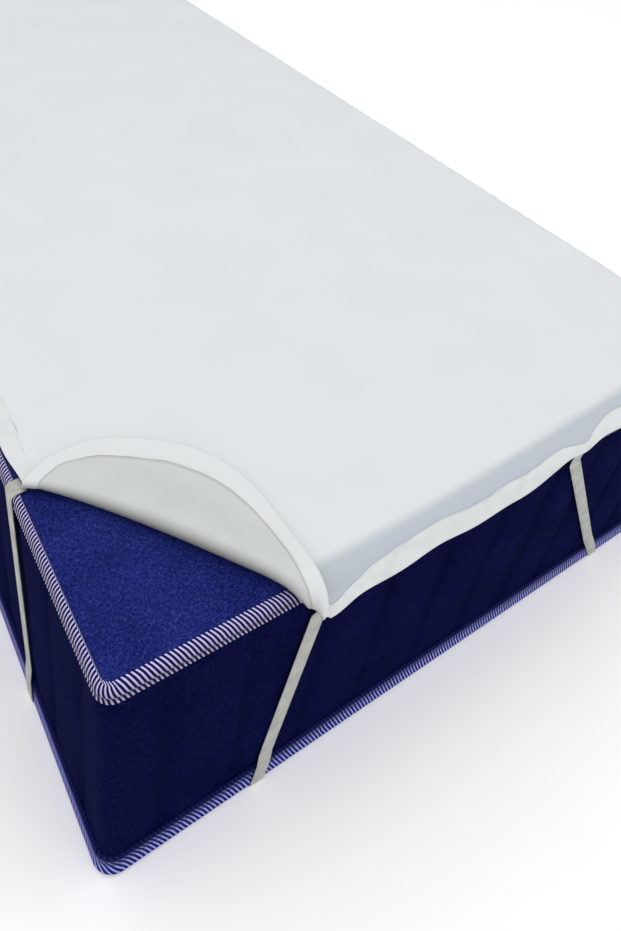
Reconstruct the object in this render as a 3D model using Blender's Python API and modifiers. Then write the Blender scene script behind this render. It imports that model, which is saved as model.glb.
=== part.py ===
"""A thin mattress pad with corner elastics, fitted on a single mattress.

The pad is one sheet, cut to a flat pattern and mapped onto the mattress: the front left corner is
folded back over a soft roll, and the front, right and back edges drop over the mattress's edge.
The origin is under the middle of the mattress, +Y runs along its length and the front end is at -Y.
"""

import math

import bmesh
import bpy
from mathutils import Vector, geometry

# Mattress; the edges of its plan are sharper at the top than at the bottom
WIDTH = 0.800
LENGTH = 2.000
CORNER_TOP = 0.012
CORNER_BOTTOM = 0.016
CORNER_LEAST = 0.004
CORNER_STEPS = 5
PANEL_SEAM = 0.2952
PANEL_CROWN = ((0.012, 0.2960), (0.024, 0.2982), (0.042, 0.3000))
PLEATS_ACROSS = 11
PLEATS_ALONG = 29
PLEAT_DEPTH = 0.0028
PLEAT_RUN_OUT = 0.020

# Striped tape bound round the top and bottom edges
TAPE_TOP = 0.2960
TAPE_RADIUS = 0.0050
TAPE_THICKNESS = 0.0018
PROUD_TOP = 0.0010
PROUD_BOTTOM = 0.0034
TAPE_ON_SIDE = 0.0050
TAPE_ON_END = 0.0080
TAPE_DOWN_TOP = 0.0120
TAPE_UP_BOTTOM = 0.0300
TAPE_LIFT = 0.0018
TAPE_STEPS = 4
GAP = 0.0004

# Pad, measured on its middle surface; the front left mattress corner is the pattern's zero point
PAD_THICKNESS = 0.0016
PAD_LEVEL = 0.3028
BEND_INSET = 0.022
BEND_CORNER = 0.012
SLOPE_RUN = 0.016
SLOPE_ANGLE = math.radians(15)
TURN_RUN = 0.016
HANG_ANGLE = math.radians(74)
FLARE = 0.0070
FLARE_RUN = 0.024
FLARE_FADE = 0.8
BEND_DEPTHS = (0.0, 0.008, 0.016, 0.020, 0.024, 0.028, 0.032, 0.040, 0.049)
FRONT_SPACING = 0.022
SIDE_SPACING = 0.040
BACK_SPACING = 0.016
LEFT_EDGE = 0.0050
LEFT_DROOP = 0.0014
LEFT_RUN_OUT = 0.045
FRONT_REACH = 0.0255
FRONT_STEPS = 22
FOLD_DROP = 0.0075
RIGHT_LIFT = 0.0165
STRAP_PULL = 0.0060
BACK_REACH = 0.0330
RIGHT_REACH = 0.0160
PAD_CORNER = 0.140
PAD_CORNER_STEPS = 26
OUTLINE_SPACING = 0.050
GRID_START = 0.030
GRID_SPACING = 0.072
HEM_RIPPLE = 0.0015

# Folded corner: the fold runs from the left edge to the front hem, bowed back in the middle
FOLD_START_X = 0.0090
FOLD_START_Y = 0.180
FOLD_END_X = 0.1715
FOLD_STEPS = 36
FOLD_BOW = 0.0095
ROLL_MIN = 0.0030
ROLL_MAX = 0.0085
ROLL_STEPS = 6
BEHIND_FOLD = 0.014
FLAP_REACH = 0.078
FLAP_ROWS = 5
FLAP_LEVEL = 0.0036
FLAP_FALL = 0.050
FLAP_DIMPLE = 0.0030
DIMPLE_AT = 0.62
DIMPLE_WIDTH = 0.07
DIMPLE_RUN = 0.06

# Elastic straps, one under each corner of the mattress
STRAP_WIDTH = 0.0150
STRAP_THICKNESS = 0.0010
STRAP_OFF = 0.0010
STRAP_TUCK = 0.005
STRAP_RISE = 0.0005
STRAP_LEAN_RUN = 0.020
STRAP_STRAIGHT = (0.010, 0.052)
STRAP_OVER_TAPE = 0.0030
STRAP_SEAM = 0.0008
UNDER_STEPS = 10
STRAP_EASE = 0.085
CHANNEL_MARGIN = 0.004
CHANNEL_DEPTH = 0.010
CHANNEL_RUN_OUT = 0.020

# Each strap: which way it is mirrored, then where it runs on the end face and on the side face.
# A face's three values are the distance from the corner at the bottom, that at the top, and the
# level of the strap's end, or None where the strap goes over the top edge and under the pad.
STRAPS = {
    "strap_front_left": (1, 1, (0.146, 0.172, 0.274), (0.177, 0.185, None)),
    "strap_front_right": (-1, 1, (0.132, 0.314, 0.289), (0.150, 0.290, 0.289)),
    "strap_back_left": (1, -1, (0.150, 0.235, 0.276), (0.160, 0.230, None)),
    "strap_back_right": (-1, -1, (0.150, 0.235, 0.276), (0.160, 0.250, 0.288)),
}

COLOURS = {
    "ticking": ((0.010, 0.016, 0.200), 0.85),
    "tape": ((0.300, 0.290, 0.520), 0.75),
    "pad": ((0.760, 0.780, 0.780), 0.80),
    "elastic": ((0.420, 0.420, 0.390), 0.70),
}


def clear_scene():
    for old in list(bpy.data.objects):
        bpy.data.objects.remove(old, do_unlink=True)


def material(name):
    colour, roughness = COLOURS[name]
    made = bpy.data.materials.new(name)
    made.use_nodes = True
    shader = made.node_tree.nodes["Principled BSDF"]
    shader.inputs["Base Color"].default_value = (*colour, 1.0)
    shader.inputs["Roughness"].default_value = roughness
    shader.inputs["Metallic"].default_value = 0.0
    return made


def add_object(name, mesh, finish, collection):
    """Puts a mesh in the collection as a named object with one material."""
    mesh.name = name
    made = bpy.data.objects.new(name, mesh)
    mesh.materials.append(finish)
    collection.objects.link(made)
    return made


def mesh_of(points, faces):
    """A mesh with its faces turned the same way, outwards where it is closed."""
    work = bmesh.new()
    corners = [work.verts.new(p) for p in points]
    for face in faces:
        work.faces.new([corners[i] for i in face])
    bmesh.ops.recalc_face_normals(work, faces=work.faces)
    mesh = bpy.data.meshes.new("work")
    work.to_mesh(mesh)
    work.free()
    return mesh


def loop_round(level, side_out, end_out, radius, pleats=(1, 1), pleat_depth=0.0):
    """A closed loop of points round the mattress's plan, out from its faces or in from them.

    Each side has two points to a pleat, one in its channel and one on its crest.
    """
    half_x, half_y = WIDTH / 2 + side_out, LENGTH / 2 + end_out
    straight_x, straight_y = half_x - radius, half_y - radius
    across, along = pleats
    sides = (
        (Vector((half_x, -straight_y)), Vector((0, 1)), 2 * straight_y, along),
        (Vector((straight_x, half_y)), Vector((-1, 0)), 2 * straight_x, across),
        (Vector((-half_x, straight_y)), Vector((0, -1)), 2 * straight_y, along),
        (Vector((-straight_x, -half_y)), Vector((1, 0)), 2 * straight_x, across),
    )
    points = []
    for start, direction, length, count in sides:
        outward = Vector((direction.y, -direction.x))
        for step in range(2 * count + 1):
            place = start + direction * (length * step / (2 * count))
            points.append(place - outward * (pleat_depth * (step % 2)))
        centre = start + direction * length - outward * radius
        for step in range(1, CORNER_STEPS):
            turn = math.radians(90 * step / CORNER_STEPS)
            points.append(centre + (outward * math.cos(turn) + direction * math.sin(turn)) * radius)
    return [(p.x, p.y, level) for p in points]


def corner_radius(level):
    """The mattress's plan corner at a level: rounder towards the bottom."""
    return CORNER_BOTTOM + (CORNER_TOP - CORNER_BOTTOM) * min(1.0, max(0.0, level / TAPE_TOP))


def drawn_in(level, out):
    """The corner radius of a loop that lies out from the faces, or in from them, at a level."""
    return max(CORNER_LEAST, corner_radius(level) + out)


def loft(rings, closed):
    """A mesh through rings of equal length; closed joins the last to the first, or both are capped."""
    count = len(rings[0])
    points = [p for one in rings for p in one]
    faces = []
    for row in range(len(rings) if closed else len(rings) - 1):
        near = row * count
        far = (row + 1) % len(rings) * count
        for i in range(count):
            j = (i + 1) % count
            faces.append((near + i, near + j, far + j, far + i))
    if not closed:
        faces.append(tuple(range(count)))
        faces.append(tuple(range(len(points) - count, len(points))))
    return mesh_of(points, faces)


def mattress_body(finish, collection):
    """The block under the tape: a rebate at both edges, a pleated border, and a low crown on top."""
    seat = TAPE_THICKNESS + GAP
    low_bed, high_bed = PROUD_BOTTOM - seat, PROUD_TOP - seat
    low_round, high_round = PROUD_BOTTOM - TAPE_RADIUS, PROUD_TOP - TAPE_RADIUS
    side_seam, end_seam = -(TAPE_ON_SIDE + GAP), -(TAPE_ON_END + GAP)
    border_low = TAPE_LIFT + TAPE_UP_BOTTOM + GAP
    border_high = TAPE_TOP - TAPE_DOWN_TOP - GAP
    rows = [
        (0.0, side_seam, end_seam, 0.0),
        (TAPE_LIFT + seat, side_seam, end_seam, 0.0),
        (TAPE_LIFT + seat, low_round, low_round, 0.0),
        (TAPE_LIFT + TAPE_RADIUS, low_bed, low_bed, 0.0),
        (border_low, low_bed, low_bed, 0.0),
        (border_low, 0.0, 0.0, 0.0),
        (border_low + PLEAT_RUN_OUT, 0.0, 0.0, PLEAT_DEPTH),
        (border_high - PLEAT_RUN_OUT, 0.0, 0.0, PLEAT_DEPTH),
        (border_high, 0.0, 0.0, 0.0),
        (border_high, high_bed, high_bed, 0.0),
        (TAPE_TOP - TAPE_RADIUS, high_bed, high_bed, 0.0),
        (TAPE_TOP - seat, high_round, high_round, 0.0),
        (TAPE_TOP - seat, side_seam, end_seam, 0.0),
        (PANEL_SEAM, side_seam, end_seam, 0.0),
    ]
    rows += [(level, -inset, -inset, 0.0) for inset, level in PANEL_CROWN]
    pleats = (PLEATS_ACROSS, PLEATS_ALONG)
    rings = [
        loop_round(level, side, end, drawn_in(level, max(side, end)), pleats, depth)
        for level, side, end, depth in rows
    ]
    return add_object("mattress_body", loft(rings, closed=False), finish, collection)


def tape_section(run, proud, inside):
    """One face of the tape from panel to border: (out on a side, out on an end, depth)."""
    radius = TAPE_RADIUS - inside
    centre = proud - TAPE_RADIUS
    points = [(-TAPE_ON_SIDE, -TAPE_ON_END, inside)]
    for step in range(TAPE_STEPS + 1):
        turn = math.radians(90 * step / TAPE_STEPS)
        out = centre + radius * math.sin(turn)
        points.append((out, out, TAPE_RADIUS - radius * math.cos(turn)))
    points.append((proud - inside, proud - inside, run))
    return points


def tape(name, run, proud, level, upward, finish, collection):
    """A tape bound round one edge: its outer face, then its inner face, swept round the plan."""
    section = tape_section(run, proud, 0.0) + tape_section(run, proud, TAPE_THICKNESS)[::-1]
    rings = []
    for side, end, depth in section:
        here = level + upward * depth
        rings.append(loop_round(here, side, end, drawn_in(here, max(side, end))))
    return add_object(name, loft(rings, closed=True), finish, collection)


def smooth(x):
    x = min(1.0, max(0.0, x))
    return x * x * (3 - 2 * x)


def bump(x, middle, width):
    """A rounded bump of height 1 round a middle."""
    return math.exp(-(((x - middle) / width) ** 2))


def front_edge(x):
    """The front hem's place on the flat pattern: pulled down at the fold and at the right strap."""
    reach = FRONT_REACH + FOLD_DROP * bump(x, FOLD_END_X, 0.022)
    reach += STRAP_PULL * bump(x, WIDTH - 0.312, 0.018) - RIGHT_LIFT * smooth((x - 0.385) / 0.070)
    ripple = HEM_RIPPLE * smooth(8 * (x - FOLD_END_X)) * math.sin(52 * x + 0.8 * math.sin(19 * x))
    return -reach + ripple


def fold_frame():
    """The fold on the flat pattern: its start, its direction, the way to the corner, and its length."""
    start = Vector((FOLD_START_X, FOLD_START_Y))
    way = Vector((FOLD_END_X, front_edge(FOLD_END_X))) - start
    along = way.normalized()
    return start, along, Vector((along.y, -along.x)), way.length


def fold_bow(share):
    """How far the fold lies out from its straight line, by its place along it; below zero is back."""
    share = min(1.0, max(0.0, share))
    return -FOLD_BOW * math.sin(math.pi * share**0.7)


def roll_radius(share):
    return ROLL_MIN + (ROLL_MAX - ROLL_MIN) * max(0.0, math.sin(math.pi * share)) ** 0.8


def flap_reach(share):
    """How far the folded corner lies back from the fold, by its place along the fold."""
    share = min(1.0, max(0.0, share))
    return FLAP_REACH * max(0.0, math.sin(math.pi * share**0.75)) ** (0.38 + 1.15 * share)


def pattern_outline():
    """The pad's flat pattern, anticlockwise from the fold's left end, round the corner flap first."""
    start, along, out, length = fold_frame()
    points = []
    for step in range(FOLD_STEPS + 1):
        share = step / FOLD_STEPS
        roll = math.pi * roll_radius(share) * smooth(12 * share) * smooth(12 * (1 - share))
        reach = fold_bow(share) + roll + flap_reach(share)
        points.append(start + along * (share * length) + out * reach)
    right, back = WIDTH + RIGHT_REACH, LENGTH + BACK_REACH
    last = right - PAD_CORNER
    for step in range(1, FRONT_STEPS):
        x = FOLD_END_X + (last - FOLD_END_X) * step / FRONT_STEPS
        points.append(Vector((x, front_edge(x))))
    corners = (
        (last, front_edge(last) + PAD_CORNER, -90),
        (right - PAD_CORNER, back - PAD_CORNER, 0),
        (LEFT_EDGE + PAD_CORNER, back - PAD_CORNER, 90),
    )
    for x, y, first in corners:
        for step in range(PAD_CORNER_STEPS + 1):
            turn = math.radians(first + 90 * step / PAD_CORNER_STEPS)
            facing = Vector((math.cos(turn), math.sin(turn)))
            points.append(Vector((x, y)) + facing * PAD_CORNER)
    points.append(Vector((LEFT_EDGE, FOLD_START_Y + LEFT_RUN_OUT)))
    points.append(Vector((0.4 * FOLD_START_X + 0.6 * LEFT_EDGE, FOLD_START_Y + 0.4 * LEFT_RUN_OUT)))
    return spaced(points)


def spaced(points):
    """The closed outline with its long straight sides cut into shorter steps."""
    result = []
    for i, here in enumerate(points):
        there = points[(i + 1) % len(points)]
        cuts = max(1, round((there - here).length / OUTLINE_SPACING))
        result.extend(here.lerp(there, cut / cuts) for cut in range(cuts))
    return result


def inside_by(outline, point, margin):
    """True where the point is inside the outline and further than margin from it."""
    within = False
    for i, here in enumerate(outline):
        there = outline[i - 1]
        if (here.y > point.y) != (there.y > point.y):
            if point.x < here.x + (there.x - here.x) * (point.y - here.y) / (there.y - here.y):
                within = not within
        near, share = geometry.intersect_point_line(point, here, there)
        share = min(1.0, max(0.0, share))
        if (here.lerp(there, share) - point).length < margin:
            return False
    return within


def fold_rows():
    """Rows along the fold: one behind it, those across the roll, and those across the flap."""
    start, along, out, length = fold_frame()
    rows = []
    for row in range(-1, ROLL_STEPS + FLAP_ROWS):
        points = []
        for step in range(1, FOLD_STEPS):
            share = step / FOLD_STEPS
            roll = math.pi * roll_radius(share)
            if row < 0:
                distance = -BEHIND_FOLD
            elif row <= ROLL_STEPS:
                distance = roll * row / ROLL_STEPS
            else:
                distance = roll + flap_reach(share) * (row - ROLL_STEPS) / FLAP_ROWS
            points.append(start + along * (share * length) + out * (fold_bow(share) + distance))
        rows.append(points)
    return rows


def run(first, last, step):
    """Points from first to last, evenly spaced by about a step."""
    count = max(1, round((last - first).length / step))
    return [first.lerp(last, i / count) for i in range(count + 1)]


def bend_row(reach):
    """A row that keeps one distance from the mattress's plan, along the front, right and back edges."""
    corner = BEND_INSET + BEND_CORNER
    near, wide, far = corner, WIDTH - corner, LENGTH - corner
    row = run(Vector((near, -reach)), Vector((wide, -reach)), FRONT_SPACING)
    row += row_corner(wide, near, reach, -90)
    row += run(Vector((WIDTH + reach, near)), Vector((WIDTH + reach, far)), SIDE_SPACING)
    row += row_corner(wide, far, reach, 0)
    row += run(Vector((wide, LENGTH + reach)), Vector((near, LENGTH + reach)), BACK_SPACING)
    return row + row_corner(near, far, reach, 90)


def row_corner(x, y, reach, first):
    """The stretch of a row round one mattress corner, without its two ends."""
    radius = BEND_INSET + BEND_CORNER + reach
    turns = [math.radians(first + 90 * step / CORNER_STEPS) for step in range(1, CORNER_STEPS)]
    return [Vector((x, y)) + radius * Vector((math.cos(a), math.sin(a))) for a in turns]


def bend_rows():
    """Rows close together where the sheet bends, and two lower down the drop."""
    return [bend_row(depth - BEND_INSET) for depth in BEND_DEPTHS]


def panel_rows():
    """A coarse grid on the flat top."""
    columns, rows = round(WIDTH / GRID_SPACING), round(LENGTH / GRID_SPACING)
    corner = Vector((GRID_START, GRID_START))
    return [
        [corner + Vector((column, row)) * GRID_SPACING for column in range(columns)]
        for row in range(rows)
    ]


def pattern_points(outline):
    """All points of the flat pattern, the outline first, and the row edges that triangles keep to."""
    start, along, out, length = fold_frame()

    def behind_fold(point):
        rest = point - start
        beside = -BEHIND_FOLD < rest.dot(along) < length + BEHIND_FOLD
        return rest.dot(out) < -BEHIND_FOLD * 1.25 or not beside

    def anywhere(point):
        return True

    sets = (
        (fold_rows(), 0.0025, anywhere, True),
        (bend_rows(), 0.0030, behind_fold, True),
        (panel_rows(), 0.0120, behind_fold, False),
    )
    points, edges = list(outline), []
    for rows, margin, wanted, linked in sets:
        for row in rows:
            before = None
            for point in row:
                if not (wanted(point) and inside_by(outline, point, margin)):
                    before = None
                    continue
                points.append(point)
                if linked and before is not None:
                    edges.append((before, len(points) - 1))
                before = len(points) - 1
    return points, edges


def folded(point):
    """Stage one, on the flat: past the fold the corner goes up round the roll and back, at a height."""
    start, along, out, length = fold_frame()
    rest = point - start
    share = rest.dot(along) / length
    distance = rest.dot(out) - fold_bow(share)
    if distance <= 0 or share < 0:
        return point, 0.0
    radius = roll_radius(min(1.0, share))
    foot = point - out * distance
    if distance < math.pi * radius:
        turn = distance / radius
        return foot + out * (radius * math.sin(turn)), radius * (1 - math.cos(turn))
    back = distance - math.pi * radius
    fall = smooth(back / FLAP_FALL)
    dimple = FLAP_DIMPLE * bump(share, DIMPLE_AT, DIMPLE_WIDTH)
    dimple *= math.sin(math.pi * min(1.0, back / DIMPLE_RUN)) * (1 - fall)
    height = 2 * radius + (FLAP_LEVEL - 2 * radius) * fall - dimple
    return foot - out * back, max(FLAP_LEVEL, height)


def edge_line(past):
    """(out, down, angle, hang) past the bend line: a slope, a turn over the edge, then the hang."""
    slope = SLOPE_RUN / SLOPE_ANGLE
    turn = TURN_RUN / (HANG_ANGLE - SLOPE_ANGLE)
    angle = min(SLOPE_ANGLE, past / slope)
    out, down = slope * math.sin(angle), slope * (1 - math.cos(angle))
    if past > SLOPE_RUN:
        angle = min(HANG_ANGLE, SLOPE_ANGLE + (past - SLOPE_RUN) / turn)
        out += turn * (math.sin(angle) - math.sin(SLOPE_ANGLE))
        down += turn * (math.cos(SLOPE_ANGLE) - math.cos(angle))
    hang = max(0.0, past - SLOPE_RUN - TURN_RUN)
    return out + hang * math.cos(angle), down + hang * math.sin(angle), angle, hang


def draped(point, height):
    """Stage two: the flat sheet goes over the mattress's edge on a soft slope and down its side."""
    near = BEND_INSET + BEND_CORNER
    core = Vector((min(WIDTH - near, max(near, point.x)), min(LENGTH - near, max(near, point.y))))
    outward = point - core
    past = outward.length - BEND_CORNER
    if past <= 0:
        return Vector((point.x, point.y, PAD_LEVEL + height))
    outward.normalize()
    out, down, angle, hang = edge_line(past)
    wave = 0.5 + 0.5 * math.sin(31 * point.x + 17 * point.y + 1.1)
    stand = BEND_CORNER + out + height * math.sin(angle)
    flare = FLARE * (1 - FLARE_FADE * smooth((point.x - 0.36) / 0.08))
    stand += flare * (hang / FLARE_RUN) ** 1.5 * (0.4 + 0.6 * wave)
    droop = LEFT_DROOP * smooth((BEND_INSET - point.x) / (BEND_INSET - LEFT_EDGE))
    place = core + outward * stand
    return Vector((place.x, place.y, PAD_LEVEL - down - droop + height * math.cos(angle)))


def to_world(point):
    return Vector((point.x - WIDTH / 2, point.y - LENGTH / 2, point.z))


def pad_sheet(finish, collection):
    """The pad: its flat pattern filled with triangles, folded, draped and thickened as one sheet."""
    outline = pattern_outline()
    flat, edges = pattern_points(outline)
    filled = geometry.delaunay_2d_cdt(flat, edges, [list(range(len(outline)))], 1, 1e-6)
    points = [to_world(draped(*folded(p))) for p in filled[0]]
    work = bmesh.new()
    corners = [work.verts.new(p) for p in points]
    for face in filled[2]:
        work.faces.new([corners[i] for i in face])
    mesh = bpy.data.meshes.new("pad")
    work.to_mesh(mesh)
    work.free()
    sheet = add_object("pad_sheet", mesh, finish, collection)
    skin = sheet.modifiers.new("thickness", "SOLIDIFY")
    skin.thickness = PAD_THICKNESS
    skin.offset = 0.0
    skin.use_even_offset = False
    mesh.shade_smooth()
    return sheet


def inside_hem(level):
    """How far out a strap's end is where it is sewn to the inner face of the hanging edge."""
    out, down, angle, hang = edge_line(SLOPE_RUN + TURN_RUN)
    hem = out - BEND_INSET + (PAD_LEVEL - down - level) / math.tan(HANG_ANGLE)
    return hem - (PAD_THICKNESS + STRAP_THICKNESS) / 2 - STRAP_SEAM


def strap_edge(face, top_end):
    """Stations from a strap's upper end down to the underside.

    Each is (distance along the face, out, z, facing out, facing up).
    """
    low, high, top = face
    radius = TAPE_RADIUS + STRAP_OFF
    side = PROUD_TOP + STRAP_OFF
    stations = []
    if top_end:
        tucked = -(LEFT_EDGE + STRAP_TUCK)
        stations.append((high, tucked, TAPE_TOP + STRAP_OFF + STRAP_RISE, 0.0, 1.0))
        for step in range(TAPE_STEPS + 1):
            turn = math.radians(90 * step / TAPE_STEPS)
            out, up = math.sin(turn), math.cos(turn)
            level = TAPE_TOP - TAPE_RADIUS + radius * up
            stations.append((high, PROUD_TOP - TAPE_RADIUS + radius * out, level, out, up))
        first = TAPE_TOP - TAPE_DOWN_TOP - STRAP_STRAIGHT[0]
    else:
        stations.append((high, inside_hem(top), top, 1.0, 0.0))
        first = top - STRAP_LEAN_RUN
    last = STRAP_STRAIGHT[1]
    slope = (high - low) / (first - TAPE_LIFT)
    for step in range(4):
        level = first + (last - first) * step / 3
        stations.append((high - slope * (first - level), side, level, 1.0, 0.0))
    for level in (TAPE_LIFT + TAPE_UP_BOTTOM + STRAP_OVER_TAPE, TAPE_LIFT + TAPE_RADIUS):
        stations.append((high - slope * (first - level), PROUD_BOTTOM + STRAP_OFF, level, 1.0, 0.0))
    across = stations[-1][0]
    for step in range(1, TAPE_STEPS + 1):
        turn = math.radians(90 * step / TAPE_STEPS)
        out, down = math.cos(turn), math.sin(turn)
        level = TAPE_LIFT + TAPE_RADIUS - radius * down
        place = across + (low - across) * step / TAPE_STEPS
        stations.append((place, PROUD_BOTTOM - TAPE_RADIUS + radius * out, level, out, -down))
    return stations


def strap_path(end_face, side_face):
    """Centres with facings: down the end face, under the corner, and up the side face."""
    down = [
        (Vector((x, -out, z)), Vector((0, -facing, up)))
        for x, out, z, facing, up in strap_edge(end_face, end_face[2] is None)
    ]
    rise = [
        (Vector((-out, y, z)), Vector((-facing, 0, up)))
        for y, out, z, facing, up in strap_edge(side_face, side_face[2] is None)
    ]
    return down + underside(end_face[0], side_face[0]) + rise[::-1]


def underside(end_x, side_y):
    """The strap's curved way under the corner, in the plane of the mattress's underside."""
    inset = TAPE_RADIUS - PROUD_BOTTOM
    level = TAPE_LIFT - STRAP_OFF
    first, last = Vector((end_x, inset)), Vector((inset, side_y))
    lead, follow = first + Vector((0, STRAP_EASE)), last + Vector((STRAP_EASE, 0))
    under = []
    for step in range(1, UNDER_STEPS):
        t = step / UNDER_STEPS
        flat = first * (1 - t) ** 3 + lead * (3 * t * (1 - t) ** 2)
        flat += follow * (3 * t * t * (1 - t)) + last * t**3
        under.append((Vector((flat.x, flat.y, level)), Vector((0, 0, -1))))
    return under


def channel_path(end_x, side_y):
    """The strap's way under the corner, carried straight on past both edges of the mattress."""
    inset = TAPE_RADIUS - PROUD_BOTTOM
    bed = underside(end_x, side_y)
    level, down = bed[0][0].z, Vector((0, 0, -1))
    ahead = [Vector((end_x, y, level)) for y in (-CHANNEL_RUN_OUT, inset)]
    after = [Vector((x, side_y, level)) for x in (inset, -CHANNEL_RUN_OUT)]
    return [(place, down) for place in ahead] + bed + [(place, down) for place in after]


def ribbon(path, width, inner, outer):
    """A flat band through the path, from inner to outer along its facing."""
    rings = []
    for i, (centre, facing) in enumerate(path):
        before, after = path[max(0, i - 1)][0], path[min(len(path) - 1, i + 1)][0]
        across = (after - before).cross(facing).normalized() * (width / 2)
        turning = abs(facing.z) > 0.05
        edge_levels = (TAPE_TOP - TAPE_RADIUS, TAPE_LIFT + TAPE_RADIUS)
        at_edge = any(abs(centre.z - edge) < 1e-4 for edge in edge_levels)
        if abs(facing.x) + abs(facing.y) > 0.05 and (turning or at_edge):
            level = Vector((-facing.y, facing.x, 0)).normalized()
            across = level * (width / 2 if across.dot(level) > 0 else -width / 2)
        corners = ((across, inner), (-across, inner), (-across, outer), (across, outer))
        rings.append([centre + side + facing * lift for side, lift in corners])
    return loft(rings, closed=False)


def place_at_corner(mesh, mirror_x, mirror_y):
    """Moves a shape made for the front left corner to the corner that the mirrors give."""
    for vertex in mesh.vertices:
        at = to_world(vertex.co)
        vertex.co = (at.x * mirror_x, at.y * mirror_y, at.z)
    if mirror_x * mirror_y < 0:
        mesh.flip_normals()
    return mesh


def straps(body, finish, collection, cutters):
    """Four elastics, and the shallow channel that each presses into the underside."""
    for name, (mirror_x, mirror_y, end_face, side_face) in STRAPS.items():
        path = strap_path(end_face, side_face)
        half = STRAP_THICKNESS / 2
        mesh = place_at_corner(ribbon(path, STRAP_WIDTH, -half, half), mirror_x, mirror_y)
        add_object(name, mesh, finish, collection)
        bed = channel_path(end_face[0], side_face[0])
        cut = ribbon(bed, STRAP_WIDTH + 2 * CHANNEL_MARGIN, -STRAP_OFF, CHANNEL_DEPTH)
        cutter = bpy.data.objects.new(name + "_channel", place_at_corner(cut, mirror_x, mirror_y))
        cutter.hide_render = True
        cutter.display_type = "WIRE"
        cutters.objects.link(cutter)
        channel = body.modifiers.new(name + "_channel", "BOOLEAN")
        channel.operation = "DIFFERENCE"
        channel.solver = "EXACT"
        channel.object = cutter


def build():
    clear_scene()
    parts = bpy.data.collections.new("mattress_pad_on_mattress")
    cutters = bpy.data.collections.new("cutters")
    bpy.context.scene.collection.children.link(parts)
    bpy.context.scene.collection.children.link(cutters)
    finishes = {name: material(name) for name in COLOURS}
    body = mattress_body(finishes["ticking"], parts)
    tape("top_tape", TAPE_DOWN_TOP, PROUD_TOP, TAPE_TOP, -1, finishes["tape"], parts)
    tape("bottom_tape", TAPE_UP_BOTTOM, PROUD_BOTTOM, TAPE_LIFT, 1, finishes["tape"], parts)
    pad_sheet(finishes["pad"], parts)
    straps(body, finishes["elastic"], parts, cutters)


build()
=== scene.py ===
import math

import bmesh
import bpy
import numpy as np
from mathutils import Matrix, Vector, geometry


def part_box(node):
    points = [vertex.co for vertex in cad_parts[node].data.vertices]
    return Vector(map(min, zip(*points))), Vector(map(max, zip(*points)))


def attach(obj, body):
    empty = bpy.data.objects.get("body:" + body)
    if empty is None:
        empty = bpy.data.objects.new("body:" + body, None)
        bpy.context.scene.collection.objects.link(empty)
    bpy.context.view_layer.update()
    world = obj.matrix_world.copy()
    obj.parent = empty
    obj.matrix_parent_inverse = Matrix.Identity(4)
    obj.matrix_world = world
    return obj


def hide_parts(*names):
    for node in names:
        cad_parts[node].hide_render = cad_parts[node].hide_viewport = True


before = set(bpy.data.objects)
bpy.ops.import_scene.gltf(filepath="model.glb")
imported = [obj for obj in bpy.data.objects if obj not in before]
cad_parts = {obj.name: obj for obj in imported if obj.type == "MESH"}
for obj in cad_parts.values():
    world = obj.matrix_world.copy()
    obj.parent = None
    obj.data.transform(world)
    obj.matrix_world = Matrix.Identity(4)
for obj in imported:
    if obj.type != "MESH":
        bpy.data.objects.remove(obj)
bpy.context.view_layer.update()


# Mattress block
# A sprung single mattress: a smooth woven panel over wadding on top, and a border of denim-like
# ticking quilted in upright channels. Panel and border are sewn together under the edge tapes.

body_low, body_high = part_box("mattress_body")
LOW_BULGE = 0.0012
HALF_WIDTH = body_high.x - LOW_BULGE
HALF_LENGTH = body_high.y - LOW_BULGE
PANEL_TOP = body_high.z
TAPE_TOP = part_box("top_tape")[1].z
TAPE_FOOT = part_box("bottom_tape")[0].z
TAPE_OVERLAP = 0.002
BORDER_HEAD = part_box("top_tape")[0].z + TAPE_OVERLAP
BORDER_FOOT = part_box("bottom_tape")[1].z - TAPE_OVERLAP
CORNER_TOP = 0.012
CORNER_BOTTOM = 0.016
CORNER_LEAST = 0.004
CORNER_STEPS = 12
STATION_SPACING = 0.0065
CHANNELS_ON_END = 11
CHANNELS_ON_SIDE = 29
CHANNEL_DEPTH = 0.0036
CHANNEL_WIDTH = 0.0060
CHANNEL_RUN_OUT = 0.020
CHANNEL_SHADE = 0.28
CHANNEL_PUFF = 0.28
BORDER_EASE = 0.0004
SEAM_SET_BACK = 0.0012
PANEL_SEAM_LEVEL = TAPE_TOP - 0.0008
PANEL_SEAM_ON_SIDE = 0.0052
PANEL_SEAM_ON_END = 0.0082
PANEL_CROWN_WIDTH = 0.040
PANEL_PUFF = 0.0004
SEAM_DIP = 0.0006
SEAM_DIP_AT = 0.010
SEAM_DIP_WIDTH = 0.009
TAPE_BED = 0.0018
TAPE_BED_EDGE = 0.006
BORDER_ROWS = 30
PANEL_GRID = 0.015
PANEL_GRID_INSET = 0.052
PANEL_INSETS = (0.003, 0.007, 0.012, 0.018, 0.025, 0.033)
UNDERSIDE_LIFT = 0.0016
LIFT_REACH = 0.26
LIFT_RUN_OUT = 0.06
PANEL_THREAD = 0.00055
BORDER_THREAD = 0.00075
PANEL_SHADE_SIZE = 0.045
BORDER_SHADE_SIZE = 0.060
PANEL_COLOURS = ((0.0045, 0.0075, 0.065), (0.0125, 0.0200, 0.145), (0.0420, 0.0600, 0.260))
# The border is darker than the panel partly as its own darker cloth and partly as painted shade for its
# upright faces.
BORDER_COLOURS = ((0.0008, 0.0013, 0.016), (0.0020, 0.0033, 0.038), (0.0075, 0.0110, 0.085))
# Painted shade for the bottoms of the quilting channels.
CHANNEL_SHADE_COLOUR = (0.0007, 0.0009, 0.010)


def smooth(x):
    """From 0 to 1 with no slope at either end."""
    x = min(1.0, max(0.0, x))
    return x * x * (3 - 2 * x)


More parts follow.
